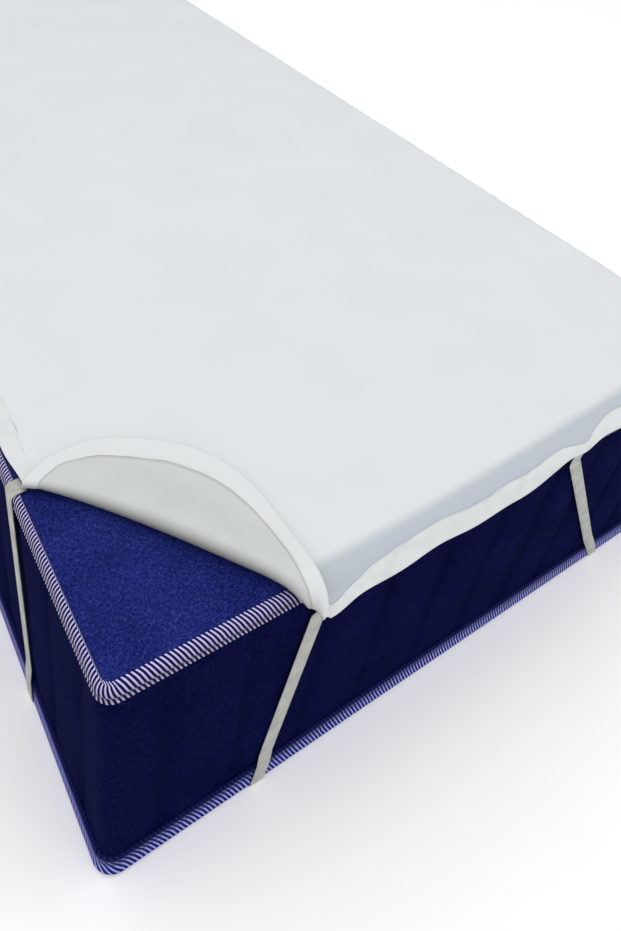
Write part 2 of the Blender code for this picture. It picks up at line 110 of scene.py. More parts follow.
def bump(x, middle, width):
    """A rounded bump of height 1 round a middle."""
    return math.exp(-(((x - middle) / width) ** 2))


def corner_radius(level):
    """The mattress's plan corner at a level: rounder towards the bottom."""
    return CORNER_BOTTOM + (CORNER_TOP - CORNER_BOTTOM) * min(1.0, max(0.0, level / TAPE_TOP))


def walk_round(spacing):
    """Stations round the plan: (side, share of the side, turn round its far corner, distance walked)."""
    stations = []
    walked = 0.0
    for side in range(4):
        length = 2 * ((HALF_LENGTH if side % 2 else HALF_WIDTH) - CORNER_TOP)
        count = round(length / spacing)
        stations += [(side, step / count, 0.0, walked + length * step / count) for step in range(count)]
        walked += length
        for step in range(CORNER_STEPS):
            turn = math.pi / 2 * step / CORNER_STEPS
            stations.append((side, 1.0, turn, walked + turn * CORNER_TOP))
        walked += CORNER_TOP * math.pi / 2
    return stations, walked


def plan_point(station, side_out, end_out, level):
    """A station's place and facing on a loop that lies out from the faces, or in from them."""
    side, share, turn = station[:3]
    along = Vector(((1, 0), (0, 1), (-1, 0), (0, -1))[side])
    out = Vector((along.y, -along.x))
    half_x, half_y = HALF_WIDTH + side_out, HALF_LENGTH + end_out
    half_out, half_along = (half_x, half_y) if side % 2 else (half_y, half_x)
    radius = max(CORNER_LEAST, corner_radius(level) + max(side_out, end_out))
    facing = out * math.cos(turn) + along * math.sin(turn)
    core = out * (half_out - radius) + along * ((half_along - radius) * (2 * share - 1))
    return core + facing * radius, facing


def sweep_round(stations, walked, rows, place, closed=False):
    """A mesh of rows swept round the plan; its UVs are metres along the sweep and across the rows."""
    work = bmesh.new()
    uv = work.loops.layers.uv.new("cloth")
    rings = [[work.verts.new(place(s, row)) for s in stations] for row in rows]
    across = [0.0]
    middle = len(stations) // 8
    for near, far in zip(rings, rings[1:]):
        across.append(across[-1] + (far[middle].co - near[middle].co).length)
    if closed:
        across.append(across[-1] + (rings[-1][middle].co - rings[0][middle].co).length)
        rings.append(rings[0])
    for k in range(len(rings) - 1):
        for i in range(len(stations)):
            j = (i + 1) % len(stations)
            face = work.faces.new((rings[k][i], rings[k][j], rings[k + 1][j], rings[k + 1][i]))
            after = stations[j][3] if j else walked
            corners = ((stations[i][3], k), (after, k), (after, k + 1), (stations[i][3], k + 1))
            for loop, (along, row) in zip(face.loops, corners):
                loop[uv].uv = (along, across[row])
            face.smooth = True
    return work


def object_from(work, name, materials):
    """Turns a working mesh into a named object of the part, riding on its body."""
    bmesh.ops.recalc_face_normals(work, faces=work.faces)
    mesh = bpy.data.meshes.new(name)
    work.to_mesh(mesh)
    work.free()
    for finish in materials:
        mesh.materials.append(finish)
    made = bpy.data.objects.new(name, mesh)
    bpy.context.scene.collection.objects.link(made)
    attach(made, "root")
    return made


def channel_share(station):
    """How near a station is to a quilting channel, from 0 on a puff to 1 in the channel."""
    side, share, turn = station[:3]
    if turn > 0:
        return 0.0
    count = CHANNELS_ON_SIDE if side % 2 else CHANNELS_ON_END
    pitch = 2 * (HALF_LENGTH if side % 2 else HALF_WIDTH) / count
    off = abs(share * count % 1.0 - 0.5) * pitch
    puff = 1 - (2 * off / pitch) ** 2
    return (1 - CHANNEL_PUFF) * bump(off, 0.0, CHANNEL_WIDTH) + CHANNEL_PUFF * puff


def border_run_out(level):
    """From 0 under the tapes to 1 where the quilting is full."""
    return smooth((level - BORDER_FOOT) / CHANNEL_RUN_OUT) * smooth((BORDER_HEAD - level) / CHANNEL_RUN_OUT)


def border_point(station, level):
    """A point of the quilted border, which runs out flat under the tapes."""
    run_out = border_run_out(level)
    ease = BORDER_EASE * math.sin(31 * station[3] + 40 * level) * run_out
    depth = SEAM_SET_BACK * (1 - run_out) + CHANNEL_DEPTH * channel_share(station) * run_out - ease
    at, facing = plan_point(station, 0.0, 0.0, level)
    at -= facing * depth
    return Vector((at.x, at.y, level))


def put_node(tree, kind, inputs=None, **settings):
    """Adds a node; each input is a value or the socket that feeds it."""
    node = tree.nodes.new(kind)
    for name, value in settings.items():
        setattr(node, name, value)
    for name, value in (inputs or {}).items():
        if isinstance(value, bpy.types.NodeSocket):
            tree.links.new(value, node.inputs[name])
        else:
            node.inputs[name].default_value = value
    return node


def reckon(tree, operation, first, second=0.0, third=0.0):
    """A Math node's result."""
    return put_node(tree, "ShaderNodeMath", {0: first, 1: second, 2: third}, operation=operation).outputs[0]


def colour_steps(tree, share, stops):
    """A ramp through the colours, each at its place from 0 to 1."""
    ramp = put_node(tree, "ShaderNodeValToRGB", {"Fac": share})
    for stop in stops[2:]:
        ramp.color_ramp.elements.new(stop[0])
    for element, (place, colour) in zip(sorted(ramp.color_ramp.elements, key=lambda e: e.position), stops):
        element.position = place
        element.color = (*colour, 1.0)
    return ramp.outputs["Color"]


def new_group(name, inputs, outputs):
    """An empty shader node group with its sockets, and its input and output nodes."""
    group = bpy.data.node_groups.new(name, "ShaderNodeTree")
    for socket, kind, value in inputs:
        made = group.interface.new_socket(socket, in_out="INPUT", socket_type=kind)
        if value is not None:
            made.default_value = value
    for socket, kind in outputs:
        group.interface.new_socket(socket, in_out="OUTPUT", socket_type=kind)
    return group, group.nodes.new("NodeGroupInput"), group.nodes.new("NodeGroupOutput")


def weave_group():
    """Crossing threads with uneven slubs: their height, and flecks where lighter threads come up."""
    group, given, result = new_group(
        "weave",
        (("Place", "NodeSocketVector", None), ("Thread", "NodeSocketFloat", 0.001),
         ("Slub", "NodeSocketFloat", 0.5)),
        (("Height", "NodeSocketFloat"), ("Fleck", "NodeSocketFloat")),
    )
    turns = reckon(group, "DIVIDE", 2 * math.pi, given.outputs["Thread"])
    scaled = put_node(group, "ShaderNodeVectorMath", {0: given.outputs["Place"]}, operation="SCALE")
    group.links.new(turns, scaled.inputs["Scale"])
    parts = put_node(group, "ShaderNodeSeparateXYZ", {0: scaled.outputs[0]})
    over = reckon(group, "SINE", parts.outputs[0])
    under = reckon(group, "SINE", parts.outputs[1])
    crossing = reckon(group, "MULTIPLY", over, under)
    per_thread = reckon(group, "DIVIDE", 0.45, given.outputs["Thread"])
    slubs = []
    for drawn_out in ((1.0, 0.35, 1.0), (0.35, 1.0, 1.0)):
        threads = put_node(
            group, "ShaderNodeMapping", {"Vector": given.outputs["Place"], "Scale": drawn_out}
        )
        uneven = put_node(
            group, "ShaderNodeTexNoise",
            {"Vector": threads.outputs[0], "Scale": per_thread, "Detail": 2.0, "Roughness": 0.6},
        )
        slubs.append(uneven.outputs["Fac"])
    fleck = reckon(group, "MAXIMUM", slubs[0], slubs[1])
    slub = reckon(group, "MULTIPLY", fleck, given.outputs["Slub"])
    height = reckon(group, "ADD", reckon(group, "MULTIPLY", crossing, 0.5), slub)
    group.links.new(height, result.inputs["Height"])
    group.links.new(fleck, result.inputs["Fleck"])
    return group


WEAVE = weave_group()


def cloth_shader(name, roughness, specular, sheen):
    """A material with a plain Principled shader set for cloth, and its tree."""
    made = bpy.data.materials.new(name)
    made.use_nodes = True
    tree = made.node_tree
    shader = tree.nodes["Principled BSDF"]
    shader.inputs["Roughness"].default_value = roughness
    shader.inputs["Specular IOR Level"].default_value = specular
    shader.inputs["Sheen Weight"].default_value = sheen
    shader.inputs["Sheen Roughness"].default_value = 0.6
    return made, tree, shader


def blend_colours(tree, share, first, second):
    """The first colour's socket turned towards a second colour by a share."""
    if not isinstance(second, bpy.types.NodeSocket):
        second = (*second, 1.0)
    mix = put_node(tree, "ShaderNodeMix", {0: share, 6: first, 7: second}, data_type="RGBA")
    return mix.outputs[2]


def put_colour(tree, colour):
    """A plain colour's socket."""
    node = put_node(tree, "ShaderNodeRGB")
    node.outputs[0].default_value = (*colour, 1.0)
    return node.outputs[0]


def ticking(name, colours, thread, shade_size):
    """Navy ticking: a close weave with lighter flecks, and painted shade down in the quilting channels."""
    made, tree, shader = cloth_shader(name, 0.92, 0.01, 0.0)
    uv = put_node(tree, "ShaderNodeUVMap", uv_map="cloth")
    weave = put_node(tree, "ShaderNodeGroup", node_tree=WEAVE)
    tree.links.new(uv.outputs[0], weave.inputs["Place"])
    weave.inputs["Thread"].default_value = thread
    weave.inputs["Slub"].default_value = 0.8
    slow = put_node(
        tree, "ShaderNodeTexNoise", {"Vector": uv.outputs[0], "Scale": 1 / shade_size, "Detail": 3.0}
    )
    share = reckon(tree, "MULTIPLY_ADD", slow.outputs["Fac"], 0.22, weave.outputs["Fleck"])
    dark, middle, light = colours
    cloth = colour_steps(tree, share, ((0.52, dark), (0.68, middle), (0.90, light)))
    # The channel attribute is painted shade down in the quilting channels.
    channel = put_node(tree, "ShaderNodeAttribute", attribute_name="channel")
    shaded = blend_colours(tree, channel.outputs["Fac"], cloth, CHANNEL_SHADE_COLOUR)
    tree.links.new(shaded, shader.inputs["Base Color"])
    relief = put_node(
        tree, "ShaderNodeBump", {"Height": weave.outputs["Height"], "Strength": 0.40, "Distance": 0.0003}
    )
    tree.links.new(relief.outputs[0], shader.inputs["Normal"])
    return made


def panel_level(x, y):
    """The top panel's level: drawn down at its seam, then a low crown with soft puffs."""
    edge = min(HALF_WIDTH - abs(x) - PANEL_SEAM_ON_SIDE, HALF_LENGTH - abs(y) - PANEL_SEAM_ON_END)
    crown = (PANEL_TOP - PANEL_PUFF - PANEL_SEAM_LEVEL) * smooth(edge / PANEL_CROWN_WIDTH)
    puff = PANEL_PUFF * math.sin(46 * x + 1.3) * math.sin(39 * y + 0.4)
    dip = SEAM_DIP * math.sin(150 * x + 0.5) * math.sin(140 * y) * bump(edge, SEAM_DIP_AT, SEAM_DIP_WIDTH)
    return PANEL_SEAM_LEVEL + crown + (puff + dip) * smooth(edge / SEAM_DIP_AT)


def underside_level(x, y):
    """The underside's level: on the floor, and up by an elastic's thickness near the corners."""
    corner = math.hypot(HALF_WIDTH - abs(x), HALF_LENGTH - abs(y))
    return body_low.z + UNDERSIDE_LIFT * smooth((LIFT_REACH - corner) / LIFT_RUN_OUT)


def fill_outline(outline, inner):
    """Triangles over a closed outline and the points inside it."""
    flat = [Vector(p) for p in outline] + [Vector(p) for p in inner]
    filled = geometry.delaunay_2d_cdt(flat, [], [list(range(len(outline)))], 1, 1e-7)
    return filled[0], filled[2]


def add_panel(work, stations, top):
    """Closes the block with its top panel or its plain underside."""
    uv = work.loops.layers.uv["cloth"]
    level = TAPE_TOP if top else body_low.z
    ring = [plan_point(s, -PANEL_SEAM_ON_SIDE, -PANEL_SEAM_ON_END, level)[0] for s in stations]
    inner = []
    for inset in PANEL_INSETS:
        side, end = -PANEL_SEAM_ON_SIDE - inset, -PANEL_SEAM_ON_END - inset
        inner += [plan_point(s, side, end, level)[0] for s in stations[::2]]
    reach_x, reach_y = HALF_WIDTH - PANEL_GRID_INSET, HALF_LENGTH - PANEL_GRID_INSET
    columns, rows = round(2 * reach_x / PANEL_GRID), round(2 * reach_y / PANEL_GRID)
    for i in range(columns + 1):
        for j in range(rows + 1):
            inner.append((reach_x * (2 * i / columns - 1), reach_y * (2 * j / rows - 1)))
    points, faces = fill_outline(ring, inner)
    height = panel_level if top else underside_level
    verts = [work.verts.new((p.x, p.y, height(p.x, p.y))) for p in points]
    for corners in faces:
        face = work.faces.new([verts[i] for i in corners])
        face.material_index = 0
        face.smooth = True
        for loop in face.loops:
            loop[uv].uv = loop.vert.co.xy


def mattress():
    """The block: the border swept round the plan, closed by a panel above and below."""
    stations, walked = walk_round(STATION_SPACING)
    rows = [BORDER_FOOT + (BORDER_HEAD - BORDER_FOOT) * k / BORDER_ROWS for k in range(BORDER_ROWS + 1)]
    seam = (-PANEL_SEAM_ON_SIDE, -PANEL_SEAM_ON_END)
    bed = (-TAPE_BED, -TAPE_BED)
    under_edge = [
        (*seam, body_low.z + UNDERSIDE_LIFT), (*seam, TAPE_FOOT + TAPE_BED),
        (*bed, TAPE_FOOT + TAPE_BED_EDGE), (*bed, BORDER_FOOT),
    ]
    over_edge = [
        (*bed, BORDER_HEAD), (*bed, TAPE_TOP - TAPE_BED_EDGE),
        (*seam, TAPE_TOP - TAPE_BED), (*seam, PANEL_SEAM_LEVEL),
    ]

    def place(station, row):
        if isinstance(row, tuple):
            at = plan_point(station, *row)[0]
            return Vector((at.x, at.y, row[2]))
        return border_point(station, row)

    work = sweep_round(stations, walked, under_edge + rows + over_edge, place)
    for face in work.faces:
        face.material_index = 1
    # Painted shade for the quilting channels, kept in the channel attribute and run out under the tapes.
    depths = [channel_share(station) for station in stations]
    channel_shade_layer = work.verts.layers.float.new("channel")
    for i, vert in enumerate(work.verts):
        depth = (depths[i % len(stations)] - CHANNEL_PUFF) / (1 - CHANNEL_PUFF)
        vert[channel_shade_layer] = CHANNEL_SHADE * smooth(depth) * border_run_out(vert.co.z)
    add_panel(work, stations, True)
    add_panel(work, stations, False)
    bmesh.ops.remove_doubles(work, verts=work.verts, dist=1e-6)
    panel = ticking("panel_ticking", PANEL_COLOURS, PANEL_THREAD, PANEL_SHADE_SIZE)
    border = ticking("border_ticking", BORDER_COLOURS, BORDER_THREAD, BORDER_SHADE_SIZE)
    made = object_from(work, "mattress", (panel, border))
    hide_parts("mattress_body")


mattress()


# Edge tapes
# A striped knitted tape bound over the seam at the top edge and another at the bottom edge, each
# sewn down along both of its sides. It bulges a little at the edge, and turns in at the border.

TAPE_RADIUS = 0.0050
PROUD_TOP = 0.0010
PROUD_BOTTOM = 0.0034
TAPE_ON_SIDE = 0.0050
TAPE_ON_END = 0.0080
TAPE_THICK = 0.0014
TAPE_HOLLOW = 0.0008
TAPE_LIP = 0.0008
TAPE_LIP_AT = 0.8
TAPE_TURN_IN = 0.0016
TAPE_BEND_STEPS = 10
TAPE_ROW = 0.0012
KNIT_ROW = 0.0013
# Each light ramp is the yarn's colour across the tape, with painted light and shade: the top tape's yarn is
# brightest where it faces up, greyer where it turns to face out and brighter again at its lower lip; the
# bottom tape's yarn is dimmed near its upper edge as painted shade under the border.
TAPE_LOOKS = {
    "top_binding": {
        "node": "top_tape",
        "proud": PROUD_TOP,
        "pitch": 0.00335,
        "slant": 0.45,
        "turned": 0.0,
        "dark": (0.0045, 0.0050, 0.045),
        "light": ((0.0, (0.58, 0.55, 0.94)), (0.55, (0.38, 0.34, 0.50)), (0.80, (0.24, 0.21, 0.30)),
                  (0.93, (0.40, 0.37, 0.50))),
    },
    "bottom_binding": {
        "node": "bottom_tape",
        "proud": PROUD_BOTTOM,
        "pitch": 0.0040,
        "slant": -0.45,
        "turned": 0.0045,
        "dark": (0.0040, 0.0055, 0.090),
        "light": ((0.0, (0.27, 0.28, 0.68)), (0.60, (0.30, 0.31, 0.72)), (0.70, (0.10, 0.11, 0.27)),
                  (0.80, (0.17, 0.19, 0.31)), (0.92, (0.015, 0.020, 0.070))),
    },
}


def tape_section(run, proud):
    """The tape's outer face from panel to border: (out on a side, out on an end, depth)."""
    centre = proud - TAPE_RADIUS
    points = [
        (-TAPE_ON_SIDE, -TAPE_ON_END, 0.0010),
        (-TAPE_ON_SIDE + 0.0002, -TAPE_ON_END + 0.0003, 0.0003),
        ((centre - TAPE_ON_SIDE) / 2, (centre - TAPE_ON_END) / 2, 0.0),
    ]
    for step in range(TAPE_BEND_STEPS + 1):
        turn = math.pi / 2 * step / TAPE_BEND_STEPS
        out = centre + TAPE_RADIUS * math.sin(turn)
        points.append((out, out, TAPE_RADIUS * (1 - math.cos(turn))))
    steps = max(4, round((run - TAPE_RADIUS) / TAPE_ROW))
    for step in range(1, steps + 1):
        share = step / steps
        hollow = TAPE_HOLLOW * math.sin(math.pi * min(1.0, share / TAPE_LIP_AT))
        lifted = TAPE_LIP * smooth((share - TAPE_LIP_AT) / (1 - TAPE_LIP_AT))
        out = proud * (1 - 0.5 * share) - hollow + lifted
        points.append((out, out, TAPE_RADIUS + (run - TAPE_RADIUS) * share))
    lip = points[-1][0] - 0.0005
    points.append((lip, lip, run + 0.0003))
    border = 0.0001 - SEAM_SET_BACK
    points.append((border, border, run + TAPE_TURN_IN))
    return points


def striped_tape(name, looks, walked, across):
    """Slanting stripes of pale yarn on navy, each stripe a raised rib of the knit; the yarn's colour across
    the tape holds painted light and shade.
    """
    made, tree, shader = cloth_shader(name, 0.80, 0.06, 0.0)
    uv = put_node(tree, "ShaderNodeUVMap", uv_map="cloth")
    parts = put_node(tree, "ShaderNodeSeparateXYZ", {0: uv.outputs[0]})
    wobble = put_node(tree, "ShaderNodeTexNoise", {"Vector": uv.outputs[0], "Scale": 60.0, "Detail": 2.0})
    pitch = walked / round(walked / looks["pitch"])
    along = reckon(tree, "DIVIDE", parts.outputs[0], pitch)
    slanted = reckon(tree, "MULTIPLY_ADD", parts.outputs[1], -looks["slant"] / pitch, along)
    drifting = reckon(tree, "MULTIPLY_ADD", wobble.outputs["Fac"], 0.45, slanted)
    wave = reckon(tree, "SINE", reckon(tree, "MULTIPLY", drifting, 2 * math.pi))
    stripe = reckon(tree, "MULTIPLY_ADD", wave, 0.5, 0.5)
    fine = put_node(tree, "ShaderNodeTexNoise", {"Vector": uv.outputs[0], "Scale": 1500.0, "Detail": 1.0})
    mixed = reckon(tree, "MULTIPLY_ADD", fine.outputs["Fac"], 0.30, reckon(tree, "SUBTRACT", stripe, 0.15))
    # The yarn's colour by its place across the tape: painted light and shade.
    yarn = colour_steps(tree, reckon(tree, "DIVIDE", parts.outputs[1], across), looks["light"])
    pale = put_node(
        tree, "ShaderNodeMapRange", {0: mixed, 1: 0.50, 2: 0.78}, interpolation_type="SMOOTHSTEP"
    )
    navy = put_colour(tree, looks["dark"])
    tree.links.new(blend_colours(tree, pale.outputs[0], navy, yarn), shader.inputs["Base Color"])
    knit = reckon(tree, "SINE", reckon(tree, "MULTIPLY", parts.outputs[1], 2 * math.pi / KNIT_ROW))
    height = reckon(tree, "MULTIPLY_ADD", knit, 0.18, stripe)
    relief = put_node(tree, "ShaderNodeBump", {"Height": height, "Strength": 0.55, "Distance": 0.0005})
    tree.links.new(relief.outputs[0], shader.inputs["Normal"])
    return made


def edge_tape(name, looks):
    """One tape swept round the mattress, with a hidden inner face that closes it."""
    low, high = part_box(looks["node"])
    level, way = (high.z, -1) if looks["node"] == "top_tape" else (low.z, 1)
    outer = tape_section(high.z - low.z, looks["proud"])
    lip = outer[-1]
    back = looks["proud"] - TAPE_RADIUS
    inner = [(lip[0] - 0.0002, lip[1] - 0.0002, lip[2] - 0.0010), (back, back, TAPE_THICK)]
    stations, walked = walk_round(STATION_SPACING)

    def place(station, row):
        here = level + way * row[2]
        at = plan_point(station, row[0], row[1], here)[0]
        return Vector((at.x, at.y, here))

    work = sweep_round(stations, walked, outer + inner, place, closed=True)
    across = high.z - low.z + TAPE_ON_END + looks["turned"]
    made = object_from(work, name, [striped_tape(name + "_knit", looks, walked, across)])
    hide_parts(looks["node"])


for tape_name, tape_looks in TAPE_LOOKS.items():
    edge_tape(tape_name, tape_looks)


# Pad
# One thin sheet of smooth white cloth with a satin waterproof coating on its underside. Its
# corners are cut round, and its edge is turned under once and sewn. The front left corner is folded back.

MATTRESS_WIDTH = 2 * HALF_WIDTH
MATTRESS_LENGTH = 2 * HALF_LENGTH
PAD_THICK = 0.0012
PAD_LEVEL = PANEL_TOP + 0.0028
BEND_INSET = 0.022
BEND_CORNER = 0.012
SLOPE_RUN = 0.016
SLOPE_ANGLE = math.radians(15)
TURN_RUN = 0.016
HANG_ANGLE = math.radians(74)
FLARE = 0.0070
FLARE_RUN = 0.024
FLARE_FADE = 0.8
FLARE_FADE_FROM = 0.36
FLARE_FADE_RUN = 0.08
SWELL = 0.0005
RIPPLED_SWELL = 0.0003
SWELL_RUN_OUT = 0.03
LEFT_EDGE = 0.0050
LEFT_DROOP = 0.0014
LEFT_RUN_OUT = 0.045
FRONT_REACH = 0.0255
FOLD_DROP = 0.0075
FOLD_DROP_WIDTH = 0.022
RIGHT_LIFT = 0.0165
RIGHT_LIFT_FROM = 0.385
RIGHT_LIFT_RUN = 0.105
STRAP_PULL = 0.0060
STRAP_PULL_WIDTH = 0.018
RIGHT_STRAP_AT = MATTRESS_WIDTH - 0.312
BACK_REACH = 0.0330
RIGHT_REACH = 0.0160
PAD_CORNER = 0.140
HEM_RIPPLE = 0.0015
HEM_PUCKER = 0.0007
HEM_PUCKER_WIDTH = 0.009
FOLD_START_X = 0.0090
FOLD_START_Y = 0.180
FOLD_END_X = 0.1715
FOLD_BOW = 0.0095
ROLL_MIN = 0.0030
ROLL_MAX = 0.0085
FLAP_REACH = 0.078
FLAP_LEVEL = 0.0036
FLAP_FALL = 0.050
FLAP_DIMPLE = 0.0030
DIMPLE_AT = 0.62
DIMPLE_WIDTH = 0.07
DIMPLE_RUN = 0.06
HEM_WIDTH = 0.0215
STITCH_LINE = 0.0190
HEM_THICK = 0.0008
HEM_ROWS = (
    0.0008, 0.0030, 0.0070, 0.0110, 0.0145, 0.0170, 0.0182, 0.0190, 0.0198, 0.0208, 0.0216, 0.0230, 0.0250,
)
HEM_AT_FOLD = 0.45
HEM_ON_FLAP = 0.66
HEM_ON_SIDE = 0.75
HEM_BY_STRAP = 0.48
HEM_FLAP_FROM = 0.40
HEM_FLAP_RUN = 0.30
HEM_START_RUN = 0.18
HEM_END_RUN = 0.15
HEM_SIDE_RUN = 0.06
HEM_FRONT_RUN = 0.075
HEM_DRAWN_WIDTH = 0.045
FRONT_STRIP = 0.050
STITCH_PITCH = 0.0034
STITCH_LENGTH = 0.0026
STITCH_WIDTH = 0.00055
STITCH_JUMP = 0.012
EDGE_ROUND = 0.0012
HEM_STEP = 0.0012
GROOVE_WIDTH = 0.0011
FRONT_PART = 0.45
FRONT_SPACING = 0.0045
BACK_SPACING = 0.010
BEND_SPACING = 0.006
BEND_SPACING_BACK = 0.008
BEND_ROW = 0.0022
FLAP_ROW = 0.005
FRONT_GRID = 0.0065
WHOLE_GRID = 0.014
NEAR_CELL = 0.004
FLAP_STEPS = 120
FRONT_STEPS = 110
PAD_CORNER_STEPS = 36
LEFT_STEPS = 8
FOLD_ROW_STEPS = 110
ROLL_ROWS = 12
CLOTH_THREAD = 0.0011
PAD_COLOURS = ((0.612, 0.634, 0.648), (0.632, 0.653, 0.667))
HEM_COLOUR = (0.618, 0.636, 0.642)
# Painted shadow for the thin dark line beside the hem's inner edge on the drop.
HEM_EDGE_SHADOW_COLOUR = (0.270, 0.320, 0.370)
# This colour is painted shade with a bluish navy show-through, for the cloth sloping down from the bend to
# the hem; the values below shape that band.
SHOW_THROUGH_AND_SHADE = (0.425, 0.455, 0.505)
SHOW_ON_SIDE = 0.35
SHOW_FROM = 0.005
SHOW_FROM_ON_SIDE = 0.010
SHOW_SOFTNESS = 0.012
SHOW_SPREAD = 0.017
SHOW_SPREAD_FROM = 0.26
SHOW_SPREAD_RUN = 0.325
COATING_COLOURS = ((0.480, 0.502, 0.492), (0.515, 0.538, 0.528))
# Painted shade for the underside of the fold's roll and for the line beside the hem on the flap.
SATIN_SHADE_COLOUR = (0.130, 0.127, 0.115)
FOLD_SHADE_DEPTH = 0.85
THREAD_COLOUR = (0.640, 0.660, 0.670)


def front_edge(x):
    """The front hem's place on the flat pattern: pulled down at the fold and at the right elastic."""
    reach = FRONT_REACH + FOLD_DROP * bump(x, FOLD_END_X, FOLD_DROP_WIDTH)
    reach += STRAP_PULL * bump(x, RIGHT_STRAP_AT, STRAP_PULL_WIDTH)
    reach -= RIGHT_LIFT * smooth((x - RIGHT_LIFT_FROM) / RIGHT_LIFT_RUN)
    ripple = HEM_RIPPLE * smooth(8 * (x - FOLD_END_X)) * math.sin(52 * x + 0.8 * math.sin(19 * x))
    return -reach + ripple


def fold_frame():
    """The fold on the flat pattern: its start, its direction, the way to the corner, its length."""
    start = Vector((FOLD_START_X, FOLD_START_Y))
    way = Vector((FOLD_END_X, front_edge(FOLD_END_X))) - start
    along = way.normalized()
    return start, along, Vector((along.y, -along.x)), way.length


FOLD_START, FOLD_ALONG, FOLD_OUT, FOLD_LENGTH = fold_frame()


def fold_bow(share):
    """How far the fold lies out from its straight line, by its place along it; below zero is back."""
    return -FOLD_BOW * math.sin(math.pi * min(1.0, max(0.0, share)) ** 0.7)


def roll_radius(share):
    """The roll is tight at the fold's two ends and fullest in the middle."""
    return ROLL_MIN + (ROLL_MAX - ROLL_MIN) * max(0.0, math.sin(math.pi * share)) ** 0.8


def flap_reach(share):
    """How far the folded corner lies back from the fold, by its place along the fold."""
    share = min(1.0, max(0.0, share))
    return FLAP_REACH * max(0.0, math.sin(math.pi * share**0.75)) ** (0.38 + 1.15 * share)


def fold_point(share, distance):
    """A flat point past the fold by a distance, at a share of its length."""
    return FOLD_START + FOLD_ALONG * (share * FOLD_LENGTH) + FOLD_OUT * (fold_bow(share) + distance)


def evenly(points, spacing):
    """The closed outline walked again in even steps of about the spacing."""
    ends = points[1:] + points[:1]
    lengths = [(b - a).length for a, b in zip(points, ends)]
    result = []
    for here, there, length in zip(points, ends, lengths):
        cuts = max(1, round(length / spacing(here)))
        result.extend(here.lerp(there, cut / cuts) for cut in range(cuts))
    return result


def pattern_outline():
    """The pad's flat pattern, from the fold's left end, round the corner flap first."""
    points = []
    for step in range(FLAP_STEPS + 1):
        share = step / FLAP_STEPS
        roll = math.pi * roll_radius(share) * smooth(12 * share) * smooth(12 * (1 - share))
        points.append(fold_point(share, roll + flap_reach(share)))
    right = MATTRESS_WIDTH + RIGHT_REACH
    back = MATTRESS_LENGTH + BACK_REACH
    last = right - PAD_CORNER
    for step in range(1, FRONT_STEPS):
        x = FOLD_END_X + (last - FOLD_END_X) * step / FRONT_STEPS
        points.append(Vector((x, front_edge(x))))
    corners = (
        (last, front_edge(last) + PAD_CORNER, -90),
        (right - PAD_CORNER, back - PAD_CORNER, 0),
        (LEFT_EDGE + PAD_CORNER, back - PAD_CORNER, 90),
    )
    for x, y, first in corners:
        for step in range(PAD_CORNER_STEPS + 1):
            turn = math.radians(first + 90 * step / PAD_CORNER_STEPS)
            points.append(Vector((x, y)) + Vector((math.cos(turn), math.sin(turn))) * PAD_CORNER)
    for step in range(LEFT_STEPS):
        share = 1 - step / LEFT_STEPS
        x = FOLD_START_X + (LEFT_EDGE - FOLD_START_X) * smooth(share)
        points.append(Vector((x, FOLD_START_Y + LEFT_RUN_OUT * share)))
    return evenly(points, lambda p: FRONT_SPACING if p.y < FRONT_PART else BACK_SPACING)


def distance_to(outline, points):
    """For each flat point, its distance to the outline, below zero outside it."""
    start = np.array([tuple(p) for p in outline])
    run = np.roll(start, -1, axis=0) - start
    squared = (run**2).sum(axis=1)
    result = []
    for x, y in points:
        rest = np.array((x, y)) - start
        share = np.clip((rest * run).sum(axis=1) / squared, 0.0, 1.0)
        near = rest - run * share[:, None]
        distance = math.sqrt(((near**2).sum(axis=1)).min())
        crossed = (start[:, 1] > y) != (start[:, 1] + run[:, 1] > y)
        with np.errstate(divide="ignore", invalid="ignore"):
            meets = start[:, 0] + run[:, 0] * (y - start[:, 1]) / run[:, 1]
        inside = (crossed & (x < meets)).sum() % 2
        result.append(distance if inside else -distance)
    return result


def hem_share(point):
    """The hem's width here against its full width: narrower on the flap, at the fold and by a strap."""
    rest = point - FOLD_START
    share = rest.dot(FOLD_ALONG) / FOLD_LENGTH
    if 0 < share < 1 and rest.dot(FOLD_OUT) > fold_bow(share):
        full = 1 - (1 - HEM_ON_FLAP) * smooth((share - HEM_FLAP_FROM) / HEM_FLAP_RUN)
        ends = smooth(share / HEM_START_RUN) * smooth((1 - share) / HEM_END_RUN)
        return HEM_AT_FOLD + (full - HEM_AT_FOLD) * ends
    if point.x < FOLD_END_X:
        return HEM_AT_FOLD + (HEM_ON_SIDE - HEM_AT_FOLD) * smooth((point.y - FOLD_START_Y) / HEM_SIDE_RUN)
    full = HEM_AT_FOLD + (1 - HEM_AT_FOLD) * smooth((point.x - FOLD_END_X) / HEM_FRONT_RUN)
    if point.y < FRONT_STRIP:
        full *= 1 - HEM_BY_STRAP * bump(point.x, RIGHT_STRAP_AT, HEM_DRAWN_WIDTH)
    return full


def hem_depth(outline, points):
    """Each flat point's distance from the edge, stretched so that the hem is equally deep all round."""
    return [distance / hem_share(point) for point, distance in zip(points, distance_to(outline, points))]


def hem_row(outline, inset):
    """The outline drawn in by an inset of the hem's depth, as the flat points that keep it."""
    row = []
    for i, here in enumerate(outline):
        along = (outline[(i + 1) % len(outline)] - outline[i - 1]).normalized()
        row.append(here + Vector((-along.y, along.x)) * (inset * hem_share(here)))
    kept = hem_depth(outline, row)
    return [p for p, distance in zip(row, kept) if distance > inset - 2e-4]


